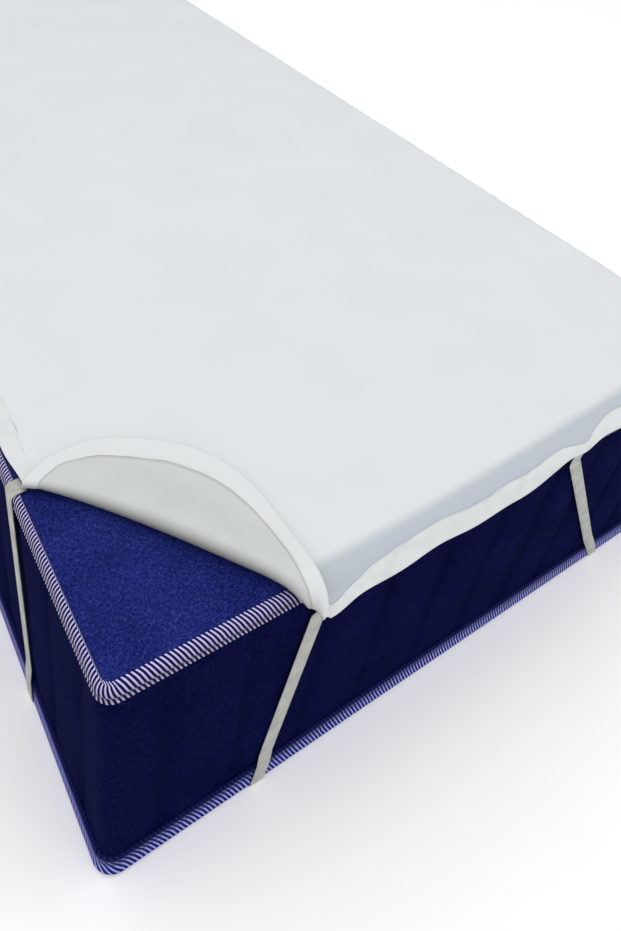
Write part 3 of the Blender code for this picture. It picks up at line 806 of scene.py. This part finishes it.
def pattern_points(outline):
    """Points inside the pattern: rows along the hem, across the roll and the bends, then an even grid."""
    taken = {}
    chosen = []

    def put(points, spacing, margin):
        """Keeps the points that are clear of the hem rows and of every point put before."""
        flat = [Vector(point) for point in points]
        for point, distance in zip(flat, hem_depth(outline, flat)):
            if distance < margin:
                continue
            cell = (math.floor(point[0] / NEAR_CELL), math.floor(point[1] / NEAR_CELL))
            cells = [(cell[0] + i, cell[1] + j) for i in (-1, 0, 1) for j in (-1, 0, 1)]
            near = [q for each in cells for q in taken.get(each, ())]
            if any((q[0] - point[0]) ** 2 + (q[1] - point[1]) ** 2 < spacing**2 for q in near):
                continue
            taken.setdefault(cell, []).append(tuple(point))
            chosen.append(Vector(point))

    for inset in HEM_ROWS:
        put(hem_row(outline, inset), 0.0008, inset - 3e-4)
    clear = HEM_ROWS[-1] + 0.0005
    for row in range(-4, 30):
        across = []
        for step in range(1, FOLD_ROW_STEPS):
            share = step / FOLD_ROW_STEPS
            roll = math.pi * roll_radius(share)
            past = roll * row / ROLL_ROWS if row <= ROLL_ROWS else roll + (row - ROLL_ROWS) * FLAP_ROW
            across.append(fold_point(share, past))
        put(across, 0.0013, clear)
    for row in range(24):
        put(plan_row(row * BEND_ROW), 0.0016, clear)
    front = [(0.004 + FRONT_GRID * i, -0.05 + FRONT_GRID * j) for i in range(126) for j in range(58)]
    put(front, 0.0030, clear)
    whole = [(0.012 + WHOLE_GRID * i, 0.012 + WHOLE_GRID * j) for i in range(57) for j in range(144)]
    put(whole, 0.0060, clear)
    return chosen


def plan_row(past):
    """Flat points that lie a distance past the bend line, along the front, right and back edges."""
    near = BEND_INSET + BEND_CORNER
    wide, far = MATTRESS_WIDTH - near, MATTRESS_LENGTH - near
    radius = BEND_CORNER + past
    across = [near + BEND_SPACING * i for i in range(round((wide - near) / BEND_SPACING) + 1)]
    along = [near + BEND_SPACING_BACK * i for i in range(round((far - near) / BEND_SPACING_BACK) + 1)]
    row = [Vector((x, near - radius)) for x in across]
    row += [Vector((wide + radius, y)) for y in along]
    row += [Vector((x, far + radius)) for x in across]
    for x, y, first in ((wide, near, -90), (wide, far, 0), (near, far, 90)):
        for step in range(1, 10):
            turn = math.radians(first + 9 * step)
            row.append(Vector((x, y)) + Vector((math.cos(turn), math.sin(turn))) * radius)
    return row


def folded(point):
    """Stage one, on the flat: past the fold the corner goes up round the roll and back, at a height."""
    rest = point - FOLD_START
    share = rest.dot(FOLD_ALONG) / FOLD_LENGTH
    distance = rest.dot(FOLD_OUT) - fold_bow(share)
    if distance <= 0 or share < 0:
        return point, 0.0
    radius = roll_radius(min(1.0, share))
    foot = point - FOLD_OUT * distance
    if distance < math.pi * radius:
        turn = distance / radius
        return foot + FOLD_OUT * (radius * math.sin(turn)), radius * (1 - math.cos(turn))
    back = distance - math.pi * radius
    fall = smooth(back / FLAP_FALL)
    dimple = FLAP_DIMPLE * bump(share, DIMPLE_AT, DIMPLE_WIDTH)
    dimple *= math.sin(math.pi * min(1.0, back / DIMPLE_RUN)) * (1 - fall)
    height = 2 * radius + (FLAP_LEVEL - 2 * radius) * fall - dimple
    return foot - FOLD_OUT * back, max(FLAP_LEVEL, height)


def edge_line(past):
    """(out, down, angle, hang) past the bend line: a slope, a turn over the edge, then the hang."""
    slope = SLOPE_RUN / SLOPE_ANGLE
    turn = TURN_RUN / (HANG_ANGLE - SLOPE_ANGLE)
    angle = min(SLOPE_ANGLE, past / slope)
    out, down = slope * math.sin(angle), slope * (1 - math.cos(angle))
    if past > SLOPE_RUN:
        angle = min(HANG_ANGLE, SLOPE_ANGLE + (past - SLOPE_RUN) / turn)
        out += turn * (math.sin(angle) - math.sin(SLOPE_ANGLE))
        down += turn * (math.cos(SLOPE_ANGLE) - math.cos(angle))
    hang = max(0.0, past - SLOPE_RUN - TURN_RUN)
    return out + hang * math.cos(angle), down + hang * math.sin(angle), angle, hang


def bend_core(point):
    """The nearest point inside the bend line's rounded corners, and how far past the line this one is."""
    near = BEND_INSET + BEND_CORNER
    x = min(MATTRESS_WIDTH - near, max(near, point.x))
    y = min(MATTRESS_LENGTH - near, max(near, point.y))
    core = Vector((x, y))
    return core, (point - core).length - BEND_CORNER


def draped(point, height):
    """Stage two: the flat sheet goes over the mattress's edge on a soft slope and down its side."""
    core, past = bend_core(point)
    swell = SWELL * math.sin(17 * point.x + 2.0) * math.sin(9 * point.y + 0.7)
    swell += RIPPLED_SWELL * math.sin(41 * point.x - 23 * point.y)
    if past <= 0:
        return Vector((point.x, point.y, PAD_LEVEL + height + swell * smooth(-past / SWELL_RUN_OUT)))
    outward = (point - core).normalized()
    out, down, angle, hang = edge_line(past)
    wave = 0.5 + 0.5 * math.sin(31 * point.x + 17 * point.y + 1.1)
    stand = BEND_CORNER + out + height * math.sin(angle)
    flare = FLARE * (1 - FLARE_FADE * smooth((point.x - FLARE_FADE_FROM) / FLARE_FADE_RUN))
    stand += flare * (hang / FLARE_RUN) ** 1.5 * (0.4 + 0.6 * wave)
    droop = LEFT_DROOP * smooth((BEND_INSET - point.x) / (BEND_INSET - LEFT_EDGE))
    place = core + outward * stand
    return Vector((place.x, place.y, PAD_LEVEL - down - droop + height * math.cos(angle)))


def pad_middle(point):
    """A flat pattern point's place on the draped pad's middle surface, in the frame."""
    at = draped(*folded(point))
    return Vector((at.x - HALF_WIDTH, at.y - HALF_LENGTH, at.z))


def half_thickness(distance):
    """Half the cloth's thickness by the distance from its edge: rounded edge, double hem, sewn groove."""
    edge = smooth((distance + 0.0002) / EDGE_ROUND)
    double = smooth((HEM_WIDTH + HEM_STEP / 2 - distance) / HEM_STEP)
    groove = bump(distance, STITCH_LINE, GROOVE_WIDTH)
    return (PAD_THICK / 2 + HEM_THICK / 2 * double * (1 - groove)) * (0.25 + 0.75 * edge)


def pucker(point, distance):
    """The hem's small rise and fall where the stitches draw it in."""
    band = bump(distance, STITCH_LINE - 0.002, HEM_PUCKER_WIDTH)
    wave = math.sin(260 * point.x + 3 * math.sin(31 * point.y))
    wave += math.sin(250 * point.y + 3 * math.sin(29 * point.x))
    return HEM_PUCKER * band * 0.5 * wave


def white_cloth():
    """The pad's face: smooth white cloth, darker and bluish from the bend down to the hem as painted shade
    with navy show-through, with a painted shadow line beside the hem there, and crumpled at the hem.
    """
    made, tree, shader = cloth_shader("white_cloth", 0.85, 0.10, 0.03)
    uv = put_node(tree, "ShaderNodeUVMap", uv_map="cloth")
    weave = put_node(tree, "ShaderNodeGroup", node_tree=WEAVE)
    tree.links.new(uv.outputs[0], weave.inputs["Place"])
    weave.inputs["Thread"].default_value = CLOTH_THREAD
    weave.inputs["Slub"].default_value = 0.4
    slow = put_node(tree, "ShaderNodeTexNoise", {"Vector": uv.outputs[0], "Scale": 9.0, "Detail": 2.0})
    plain = colour_steps(tree, slow.outputs["Fac"], ((0.35, PAD_COLOURS[0]), (0.65, PAD_COLOURS[1])))
    # Painted shade with navy show-through, from the bend down to the hem.
    show_through_and_shade = put_node(tree, "ShaderNodeAttribute", attribute_name="show_through_and_shade")
    fine = put_node(tree, "ShaderNodeTexNoise", {"Vector": uv.outputs[0], "Scale": 700.0, "Detail": 2.0})
    grain = reckon(tree, "MULTIPLY_ADD", fine.outputs["Fac"], 0.36, 0.80)
    showing_and_shaded = reckon(tree, "MULTIPLY", show_through_and_shade.outputs["Fac"], grain)
    hung = blend_colours(tree, showing_and_shaded, plain, SHOW_THROUGH_AND_SHADE)
    from_edge = put_node(tree, "ShaderNodeAttribute", attribute_name="from_edge")
    doubled = put_node(
        tree, "ShaderNodeMapRange",
        {0: from_edge.outputs["Fac"], 1: HEM_WIDTH + 0.0006, 2: HEM_WIDTH - 0.0014, 3: 0.0, 4: 1.0},
        interpolation_type="SMOOTHSTEP",
    )
    # A painted shadow line just past the hem's inner edge, on the drop only.
    hem_edge_shadow = put_node(
        tree, "ShaderNodeMapRange",
        {0: from_edge.outputs["Fac"], 1: HEM_WIDTH - 0.0004, 2: HEM_WIDTH + 0.0022, 3: 0.40, 4: 0.0},
    )
    hem_shadow_share = reckon(tree, "MULTIPLY", hem_edge_shadow.outputs[0], show_through_and_shade.outputs["Fac"])
    hem_shadowed = blend_colours(tree, hem_shadow_share, hung, HEM_EDGE_SHADOW_COLOUR)
    hemmed = blend_colours(tree, doubled.outputs[0], hem_shadowed, HEM_COLOUR)
    tree.links.new(hemmed, shader.inputs["Base Color"])
    crumple = put_node(tree, "ShaderNodeTexNoise", {"Vector": uv.outputs[0], "Scale": 48.0, "Detail": 0.6})
    lifted = reckon(tree, "SUBTRACT", crumple.outputs["Fac"], 0.45)
    in_hem = reckon(tree, "MULTIPLY", lifted, doubled.outputs[0])
    folds = put_node(tree, "ShaderNodeBump", {"Height": in_hem, "Strength": 0.6, "Distance": 0.014})
    relief = put_node(
        tree, "ShaderNodeBump",
        {"Height": weave.outputs["Height"], "Strength": 0.18, "Distance": 0.0003,
         "Normal": folds.outputs[0]},
    )
    tree.links.new(relief.outputs[0], shader.inputs["Normal"])
    return made


def satin_coating():
    """The waterproof underside: a thin grey satin film, with painted shade in the fold's underside and a
    painted shadow beside the white hem.
    """
    made, tree, shader = cloth_shader("satin_coating", 0.45, 0.25, 0.0)
    uv = put_node(tree, "ShaderNodeUVMap", uv_map="cloth")
    slow = put_node(tree, "ShaderNodeTexNoise", {"Vector": uv.outputs[0], "Scale": 22.0, "Detail": 3.0})
    film = colour_steps(tree, slow.outputs["Fac"], ((0.35, COATING_COLOURS[0]), (0.65, COATING_COLOURS[1])))
    # The tucked attribute is painted shade in the fold's roll, on the film and on the hem.
    tucked = put_node(tree, "ShaderNodeAttribute", attribute_name="tucked")
    from_edge = put_node(tree, "ShaderNodeAttribute", attribute_name="from_edge")
    # A painted shadow just past the hem's inner edge on the folded corner.
    hem_edge_shadow = put_node(
        tree, "ShaderNodeMapRange",
        {0: from_edge.outputs["Fac"], 1: HEM_WIDTH + 0.0004, 2: HEM_WIDTH + 0.0044, 3: 0.32, 4: 0.0},
        interpolation_type="SMOOTHSTEP",
    )
    hem_shadowed = blend_colours(tree, hem_edge_shadow.outputs[0], film, SATIN_SHADE_COLOUR)
    shaded = blend_colours(tree, tucked.outputs["Fac"], hem_shadowed, SATIN_SHADE_COLOUR)
    doubled = put_node(
        tree, "ShaderNodeMapRange",
        {0: from_edge.outputs["Fac"], 1: HEM_WIDTH + 0.0004, 2: HEM_WIDTH - 0.0004, 3: 0.0, 4: 1.0},
    )
    hem = blend_colours(tree, tucked.outputs["Fac"], put_colour(tree, HEM_COLOUR), SATIN_SHADE_COLOUR)
    hemmed = blend_colours(tree, doubled.outputs[0], shaded, hem)
    tree.links.new(hemmed, shader.inputs["Base Color"])
    grain = put_node(tree, "ShaderNodeTexNoise", {"Vector": uv.outputs[0], "Scale": 900.0, "Detail": 2.0})
    gloss = reckon(tree, "MULTIPLY_ADD", slow.outputs["Fac"], 0.16, 0.38)
    rough = reckon(tree, "MULTIPLY_ADD", doubled.outputs[0], 0.35, gloss)
    tree.links.new(rough, shader.inputs["Roughness"])
    relief = put_node(
        tree, "ShaderNodeBump", {"Height": grain.outputs["Fac"], "Strength": 0.10, "Distance": 0.0003}
    )
    tree.links.new(relief.outputs[0], shader.inputs["Normal"])
    return made


def fold_shade_share(point):
    """How far into the fold's underside a point lies, where less light gets, as a share of painted shade: 1
    at the fold line.
    """
    rest = point - FOLD_START
    share = rest.dot(FOLD_ALONG) / FOLD_LENGTH
    distance = rest.dot(FOLD_OUT) - fold_bow(share)
    if not 0 < share < 1 or distance < 0:
        return 0.0
    return FOLD_SHADE_DEPTH * smooth(1.35 - distance / (0.75 * math.pi * roll_radius(share)))


def show_through_and_shade(point, height):
    """The share of painted shade with navy show-through: from the bend down to the hem, fainter on the
    sides, not in the fold.
    """
    if height > 0.001:
        return 0.0
    starts = SHOW_FROM - SHOW_SPREAD * max(0.0, (point.x - SHOW_SPREAD_FROM) / SHOW_SPREAD_RUN) ** 1.3
    front = smooth((BEND_INSET - point.y - starts) / SHOW_SOFTNESS)
    side = BEND_INSET + max(point.x - MATTRESS_WIDTH, point.y - MATTRESS_LENGTH)
    return max(front, SHOW_ON_SIDE * smooth((side - SHOW_FROM_ON_SIDE) / SHOW_SOFTNESS))


def pad():
    """The sheet: its flat pattern filled, folded and draped, then given its two faces and its edge."""
    outline = pattern_outline()
    points, faces = fill_outline(outline, pattern_points(outline))
    from_edge = hem_depth(outline, points)
    work = bmesh.new()
    middle = [work.verts.new(pad_middle(p)) for p in points]
    for corners in faces:
        work.faces.new([middle[i] for i in corners])
    work.normal_update()
    normals = [v.normal.copy() for v in middle]
    places = [v.co + n * pucker(p, d) for v, n, p, d in zip(middle, normals, points, from_edge)]
    show_through_and_shade_shares = [show_through_and_shade(p, folded(p)[1]) for p in points]
    work.free()

    work = bmesh.new()
    uv = work.loops.layers.uv.new("cloth")
    edge_layer = work.verts.layers.float.new("from_edge")
    # This layer holds the share of painted shade with navy show-through, on the face side only.
    show_through_and_shade_layer = work.verts.layers.float.new("show_through_and_shade")
    # The tucked layer holds painted shade for the fold's underside.
    fold_shade_layer = work.verts.layers.float.new("tucked")
    fold_shades = [fold_shade_share(p) for p in points]
    sides = []
    for way in (1, -1):
        side = []
        for place, normal, distance, navy, fold_shade in zip(places, normals, from_edge, show_through_and_shade_shares, fold_shades):
            vert = work.verts.new(place + normal * (way * half_thickness(max(0.0, distance))))
            vert[edge_layer] = distance
            vert[show_through_and_shade_layer] = navy if way > 0 else 0.0
            vert[fold_shade_layer] = fold_shade
            side.append(vert)
        sides.append(side)
    face_side, coated_side = sides

    def add(verts, flat, index):
        face = work.faces.new(verts)
        face.smooth = True
        face.material_index = index
        for loop, i in zip(face.loops, flat):
            loop[uv].uv = points[i]

    for corners in faces:
        add([face_side[i] for i in corners], corners, 0)
        turned = corners[::-1]
        add([coated_side[i] for i in turned], turned, 1)
    count = len(outline)
    for i in range(count):
        j = (i + 1) % count
        add([face_side[j], face_side[i], coated_side[i], coated_side[j]], (j, i, i, j), 0)
    made = object_from(work, "pad", (white_cloth(), satin_coating()))
    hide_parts("pad_sheet")
    return made, outline


def cloth_frame(point, distance):
    """A flat point's place on the draped middle surface, with the way the surface faces there."""
    step = 0.0004
    east = pad_middle(point + Vector((step, 0))) - pad_middle(point - Vector((step, 0)))
    north = pad_middle(point + Vector((0, step))) - pad_middle(point - Vector((0, step)))
    facing = east.cross(north).normalized()
    return pad_middle(point) + facing * pucker(point, distance), facing


def stitch_places(outline):
    """Pairs of flat points, the two ends of each stitch, walked along the seam of the hem."""
    row = hem_row(outline, STITCH_LINE)
    places = []
    left = 0.0
    for here, there in zip(row, row[1:] + row[:1]):
        run = there - here
        if run.length > STITCH_JUMP:
            continue
        way = run.normalized()
        while left < run.length:
            first = here + way * left
            places.append((first, first + way * STITCH_LENGTH))
            left += STITCH_PITCH
        left -= run.length
    return places


def hem_thread(outline):
    """The lockstitch that holds the hem, as small raised threads on both faces of the cloth."""
    work = bmesh.new()
    section = ((-0.5, -0.3), (-0.3, 0.5), (0.3, 0.5), (0.5, -0.3))
    lift = half_thickness(STITCH_LINE) + STITCH_WIDTH * 0.15
    for first, last in stitch_places(outline):
        ends = [cloth_frame(p, STITCH_LINE) for p in (first, last)]
        way = (ends[1][0] - ends[0][0]).normalized()
        for side in (1, -1):
            rings = []
            for share, full in ((0.0, 0.35), (0.25, 1.0), (0.75, 1.0), (1.0, 0.35)):
                facing = ends[0][1].lerp(ends[1][1], share) * side
                across = way.cross(facing).normalized()
                sunk = STITCH_WIDTH * 0.5 * (1 - full)
                centre = ends[0][0].lerp(ends[1][0], share) + facing * (lift - sunk)
                width = STITCH_WIDTH * full
                ring = [centre + (across * x + facing * z) * width for x, z in section]
                rings.append([work.verts.new(place) for place in ring])
            for near, far in zip(rings, rings[1:]):
                for i in range(4):
                    work.faces.new((near[i], near[i - 1], far[i - 1], far[i])).smooth = True
            work.faces.new(rings[0])
            work.faces.new(rings[-1][::-1])
    made, tree, shader = cloth_shader("hem_thread", 0.60, 0.20, 0.0)
    place = put_node(tree, "ShaderNodeTexCoord")
    fibre = put_node(
        tree, "ShaderNodeTexNoise", {"Vector": place.outputs["Object"], "Scale": 1500.0, "Detail": 1.0}
    )
    low, high = [tuple(c * part for c in THREAD_COLOUR) for part in (0.85, 1.05)]
    tree.links.new(
        colour_steps(tree, fibre.outputs["Fac"], ((0.3, low), (0.7, high))), shader.inputs["Base Color"]
    )
    thread = object_from(work, "hem_stitches", [made])
    return thread


pad_piece, pad_cut = pad()
hem_stitches = hem_thread(pad_cut)


# Corner elastics
# Four flat ribbed elastics, one under each corner of the mattress. Each is sewn behind the hem of
# one side, pulls tight down the border, turns under the corner and rises to the hem of the next side.

ELASTIC_WIDTH = 0.0150
ELASTIC_THICK = 0.0010
ELASTIC_OFF = 0.0010
ELASTIC_TUCK = 0.0050
ELASTIC_RISE = 0.0005
ELASTIC_LEAN_RUN = 0.020
ELASTIC_OVER_TAPE = 0.034
ELASTIC_SEAM = 0.0005
ELASTIC_STRAIGHT_FROM = 0.012
ELASTIC_FACE_STEPS = 16
ELASTIC_TURN_STEPS = 8
ELASTIC_LEAN_STEPS = 4
ELASTIC_PATH_STEPS = 24
ELASTIC_BEVEL = 0.0004
RIB_PITCH = 0.0021
YARN_PITCH = 0.0009
ELASTIC_EASE = 0.0850
ELASTIC_COLOURS = ((0.330, 0.340, 0.320), (0.400, 0.408, 0.385), (0.470, 0.478, 0.450))

# Each elastic: which way it is mirrored, then where it runs on the end face and on the side face.
# A face's three values are the distance from the corner at the bottom, that at the top, and the
# level of the elastic's end, or None where it goes over the top edge and under the pad.
ELASTICS = {
    "strap_front_left": (1, 1, (0.146, 0.172, 0.274), (0.177, 0.185, None)),
    "strap_front_right": (-1, 1, (0.132, 0.314, 0.289), (0.150, 0.290, 0.289)),
    "strap_back_left": (1, -1, (0.150, 0.235, 0.276), (0.160, 0.230, None)),
    "strap_back_right": (-1, -1, (0.150, 0.235, 0.276), (0.160, 0.250, 0.288)),
}


def inside_hem(level):
    """How far out an elastic's end is where it is sewn to the inner face of the hanging hem."""
    out, down = edge_line(SLOPE_RUN + TURN_RUN)[:2]
    hem = out - BEND_INSET + (PAD_LEVEL - down - level) / math.tan(HANG_ANGLE)
    return hem - half_thickness(STITCH_LINE / 2) - ELASTIC_THICK / 2 - ELASTIC_SEAM


def elastic_face(face):
    """Stations from the upper end to the underside: (along the face, out, level, facing out, facing up)."""
    low, high, top = face
    radius = TAPE_RADIUS + ELASTIC_OFF
    side = PROUD_TOP + ELASTIC_OFF
    stations = []
    if top is None:
        tucked = -(LEFT_EDGE + ELASTIC_TUCK)
        stations.append((high, tucked, TAPE_TOP + ELASTIC_OFF + ELASTIC_RISE, 0.0, 1.0))
        for step in range(ELASTIC_TURN_STEPS + 1):
            turn = math.pi / 2 * step / ELASTIC_TURN_STEPS
            out, up = math.sin(turn), math.cos(turn)
            level = TAPE_TOP - TAPE_RADIUS + radius * up
            stations.append((high, PROUD_TOP - TAPE_RADIUS + radius * out, level, out, up))
        first = BORDER_HEAD - ELASTIC_STRAIGHT_FROM
    else:
        for step in range(ELASTIC_LEAN_STEPS + 1):
            share = step / ELASTIC_LEAN_STEPS
            out = inside_hem(top) + (side - inside_hem(top)) * smooth(share)
            stations.append((high, out, top - ELASTIC_LEAN_RUN * share, 1.0, 0.0))
        first = top - ELASTIC_LEAN_RUN - 0.001
    last = TAPE_FOOT + TAPE_RADIUS
    slope = (high - low) / (first - TAPE_FOOT)
    full = PROUD_BOTTOM + ELASTIC_OFF
    for step in range(ELASTIC_FACE_STEPS + 1):
        level = first + (last - first) * step / ELASTIC_FACE_STEPS
        out = full + (side - full) * smooth((level - ELASTIC_OVER_TAPE) / ELASTIC_LEAN_RUN)
        stations.append((high - slope * (first - level), out, level, 1.0, 0.0))
    across = stations[-1][0]
    for step in range(1, ELASTIC_TURN_STEPS + 1):
        turn = math.pi / 2 * step / ELASTIC_TURN_STEPS
        out, down = math.cos(turn), math.sin(turn)
        level = TAPE_FOOT + TAPE_RADIUS - radius * down
        place = across + (low - across) * step / ELASTIC_TURN_STEPS
        stations.append((place, PROUD_BOTTOM - TAPE_RADIUS + radius * out, level, out, -down))
    return stations


def elastic_path(end_face, side_face):
    """Centres with facings: down the end face, under the corner, up the side face."""
    ends = elastic_face(end_face)
    sides = elastic_face(side_face)
    down = [(Vector((x, -out, z)), Vector((0, -face, up))) for x, out, z, face, up in ends]
    rise = [(Vector((-out, y, z)), Vector((-face, 0, up))) for y, out, z, face, up in sides]
    inset = TAPE_RADIUS - PROUD_BOTTOM
    first = Vector((end_face[0], inset))
    last = Vector((inset, side_face[0]))
    lead = first + Vector((0, ELASTIC_EASE))
    follow = last + Vector((ELASTIC_EASE, 0))
    level = TAPE_FOOT - ELASTIC_OFF
    under = []
    for step in range(1, ELASTIC_PATH_STEPS):
        t = step / ELASTIC_PATH_STEPS
        flat = first * (1 - t) ** 3 + lead * (3 * t * (1 - t) ** 2)
        flat += follow * (3 * t * t * (1 - t)) + last * t**3
        under.append((Vector((flat.x, flat.y, level)), Vector((0, 0, -1))))
    return down + under + rise[::-1]


def ribbed_elastic():
    """Greyish white elastic: lengthwise ribs crossed by fine covering yarn."""
    made, tree, shader = cloth_shader("ribbed_elastic", 0.70, 0.15, 0.05)
    uv = put_node(tree, "ShaderNodeUVMap", uv_map="cloth")
    parts = put_node(tree, "ShaderNodeSeparateXYZ", {0: uv.outputs[0]})
    ribs = reckon(tree, "SINE", reckon(tree, "MULTIPLY", parts.outputs[1], 2 * math.pi / RIB_PITCH))
    yarn = reckon(tree, "SINE", reckon(tree, "MULTIPLY", parts.outputs[0], 2 * math.pi / YARN_PITCH))
    height = reckon(tree, "MULTIPLY_ADD", yarn, 0.30, ribs)
    slow = put_node(tree, "ShaderNodeTexNoise", {"Vector": uv.outputs[0], "Scale": 60.0, "Detail": 3.0})
    share = reckon(tree, "MULTIPLY_ADD", ribs, 0.12, slow.outputs["Fac"])
    low, middle, high = ELASTIC_COLOURS
    tree.links.new(
        colour_steps(tree, share, ((0.30, low), (0.50, middle), (0.70, high))), shader.inputs["Base Color"]
    )
    relief = put_node(tree, "ShaderNodeBump", {"Height": height, "Strength": 0.5, "Distance": 0.0003})
    tree.links.new(relief.outputs[0], shader.inputs["Normal"])
    return made


def elastic(name, finish):
    """One elastic: a thin band with rounded edges through its path."""
    mirror_x, mirror_y, end_face, side_face = ELASTICS[name]
    path = elastic_path(end_face, side_face)
    half = ELASTIC_WIDTH / 2
    flat = half - ELASTIC_BEVEL
    thin = ELASTIC_THICK / 2
    section = (
        (-half, 0.0), (-flat, thin), (0.0, thin * 1.1), (flat, thin),
        (half, 0.0), (flat, -thin), (0.0, -thin), (-flat, -thin),
    )
    straight_low = TAPE_FOOT + TAPE_RADIUS + 0.001
    straight_high = BORDER_HEAD - ELASTIC_STRAIGHT_FROM - 0.001
    work = bmesh.new()
    uv = work.loops.layers.uv.new("cloth")
    rings = []
    walked = [0.0]
    for i, (centre, facing) in enumerate(path):
        before = path[max(0, i - 1)][0]
        after = path[min(len(path) - 1, i + 1)][0]
        across = (after - before).cross(facing).normalized()
        upright = abs(facing.x) + abs(facing.y) > 0.05
        if upright and not straight_low < centre.z < straight_high:
            level = Vector((-facing.y, facing.x, 0)).normalized()
            across = level if across.dot(level) > 0 else -level
        ring = []
        for side, lift in section:
            at = centre + across * side + facing * lift
            x, y = (at.x - HALF_WIDTH) * mirror_x, (at.y - HALF_LENGTH) * mirror_y
            ring.append(work.verts.new((x, y, at.z)))
        rings.append(ring)
        if i:
            walked.append(walked[-1] + (centre - path[i - 1][0]).length)
    count = len(section)
    for k in range(len(rings) - 1):
        for i in range(count):
            j = (i + 1) % count
            face = work.faces.new((rings[k][i], rings[k][j], rings[k + 1][j], rings[k + 1][i]))
            corners = ((k, i), (k, j), (k + 1, j), (k + 1, i))
            for loop, (row, place) in zip(face.loops, corners):
                loop[uv].uv = (walked[row], section[place][0])
            face.smooth = True
    work.faces.new(rings[0])
    work.faces.new(rings[-1])
    made = object_from(work, name.replace("strap", "elastic"), [finish])
    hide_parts(name)
    return made


elastic_finish = ribbed_elastic()
elastics = [elastic(name, elastic_finish) for name in ELASTICS]


# Floor, light and camera
# A plain near-white floor under soft daylight from all round, with one large soft lamp above the
# mattress's front left side. The camera looks down on the folded corner.

FLOOR_HALF = 60.0
FLOOR_COLOURS = ((0.970, 0.970, 0.970), (0.985, 0.985, 0.985))
SKY_STRENGTH = 0.98
LAMP_POWER = 32.0
LAMP_SIZE = 3.0
LAMP_PLACE = (-0.6, -1.4, 3.4)
LAMP_AIM = (0.0, -0.3, 0.3)
CAMERA_PLACE = (-0.48671, -1.22884, 0.77920)
CAMERA_AZIMUTH = -41.38
CAMERA_ELEVATION = 33.27
CAMERA_ROLL = 11.0
CAMERA_LENS = 28.577
CAMERA_SHIFT = (-0.015, -0.194)


def floor():
    """A wide level floor with the faintest mottling."""
    work = bmesh.new()
    bmesh.ops.create_grid(work, x_segments=4, y_segments=4, size=FLOOR_HALF)
    mesh = bpy.data.meshes.new("floor")
    work.to_mesh(mesh)
    work.free()
    made, tree, shader = cloth_shader("floor_paint", 0.60, 0.10, 0.0)
    place = put_node(tree, "ShaderNodeTexCoord")
    mottle = put_node(
        tree, "ShaderNodeTexNoise", {"Vector": place.outputs["Object"], "Scale": 3.0, "Detail": 2.0}
    )
    tree.links.new(
        colour_steps(tree, mottle.outputs["Fac"], ((0.3, FLOOR_COLOURS[0]), (0.7, FLOOR_COLOURS[1]))),
        shader.inputs["Base Color"],
    )
    mesh.materials.append(made)
    laid = bpy.data.objects.new("floor", mesh)
    bpy.context.scene.collection.objects.link(laid)


def daylight():
    """Even light from the whole sky, and a large soft lamp."""
    world = bpy.data.worlds.new("daylight")
    world.use_nodes = True
    sky = world.node_tree.nodes["Background"]
    sky.inputs["Color"].default_value = (1.0, 1.0, 1.0, 1.0)
    sky.inputs["Strength"].default_value = SKY_STRENGTH
    bpy.context.scene.world = world
    lamp = bpy.data.lights.new("soft_lamp", "AREA")
    lamp.shape = "SQUARE"
    lamp.size = LAMP_SIZE
    lamp.energy = LAMP_POWER
    hung = bpy.data.objects.new("soft_lamp", lamp)
    hung.location = LAMP_PLACE
    hung.rotation_euler = (Vector(LAMP_AIM) - hung.location).to_track_quat("-Z", "Y").to_euler()
    bpy.context.scene.collection.objects.link(hung)


def camera():
    """The camera looks down over the folded corner, turned a little about its own axis."""
    lens = bpy.data.cameras.new("camera")
    lens.lens = CAMERA_LENS
    lens.shift_x, lens.shift_y = CAMERA_SHIFT
    lens.clip_end = 500.0
    made = bpy.data.objects.new("camera", lens)
    azimuth = math.radians(CAMERA_AZIMUTH)
    elevation = math.radians(CAMERA_ELEVATION)
    back = Vector((
        math.sin(azimuth) * math.cos(elevation),
        -math.cos(azimuth) * math.cos(elevation),
        math.sin(elevation),
    ))
    turned = (-back).to_track_quat("-Z", "Y").to_matrix().to_4x4()
    roll = Matrix.Rotation(math.radians(CAMERA_ROLL), 4, "Z")
    made.matrix_world = Matrix.Translation(CAMERA_PLACE) @ turned @ roll
    bpy.context.scene.collection.objects.link(made)
    bpy.context.scene.camera = made


floor()
daylight()
camera()
bpy.context.scene.view_settings.view_transform = "Standard"
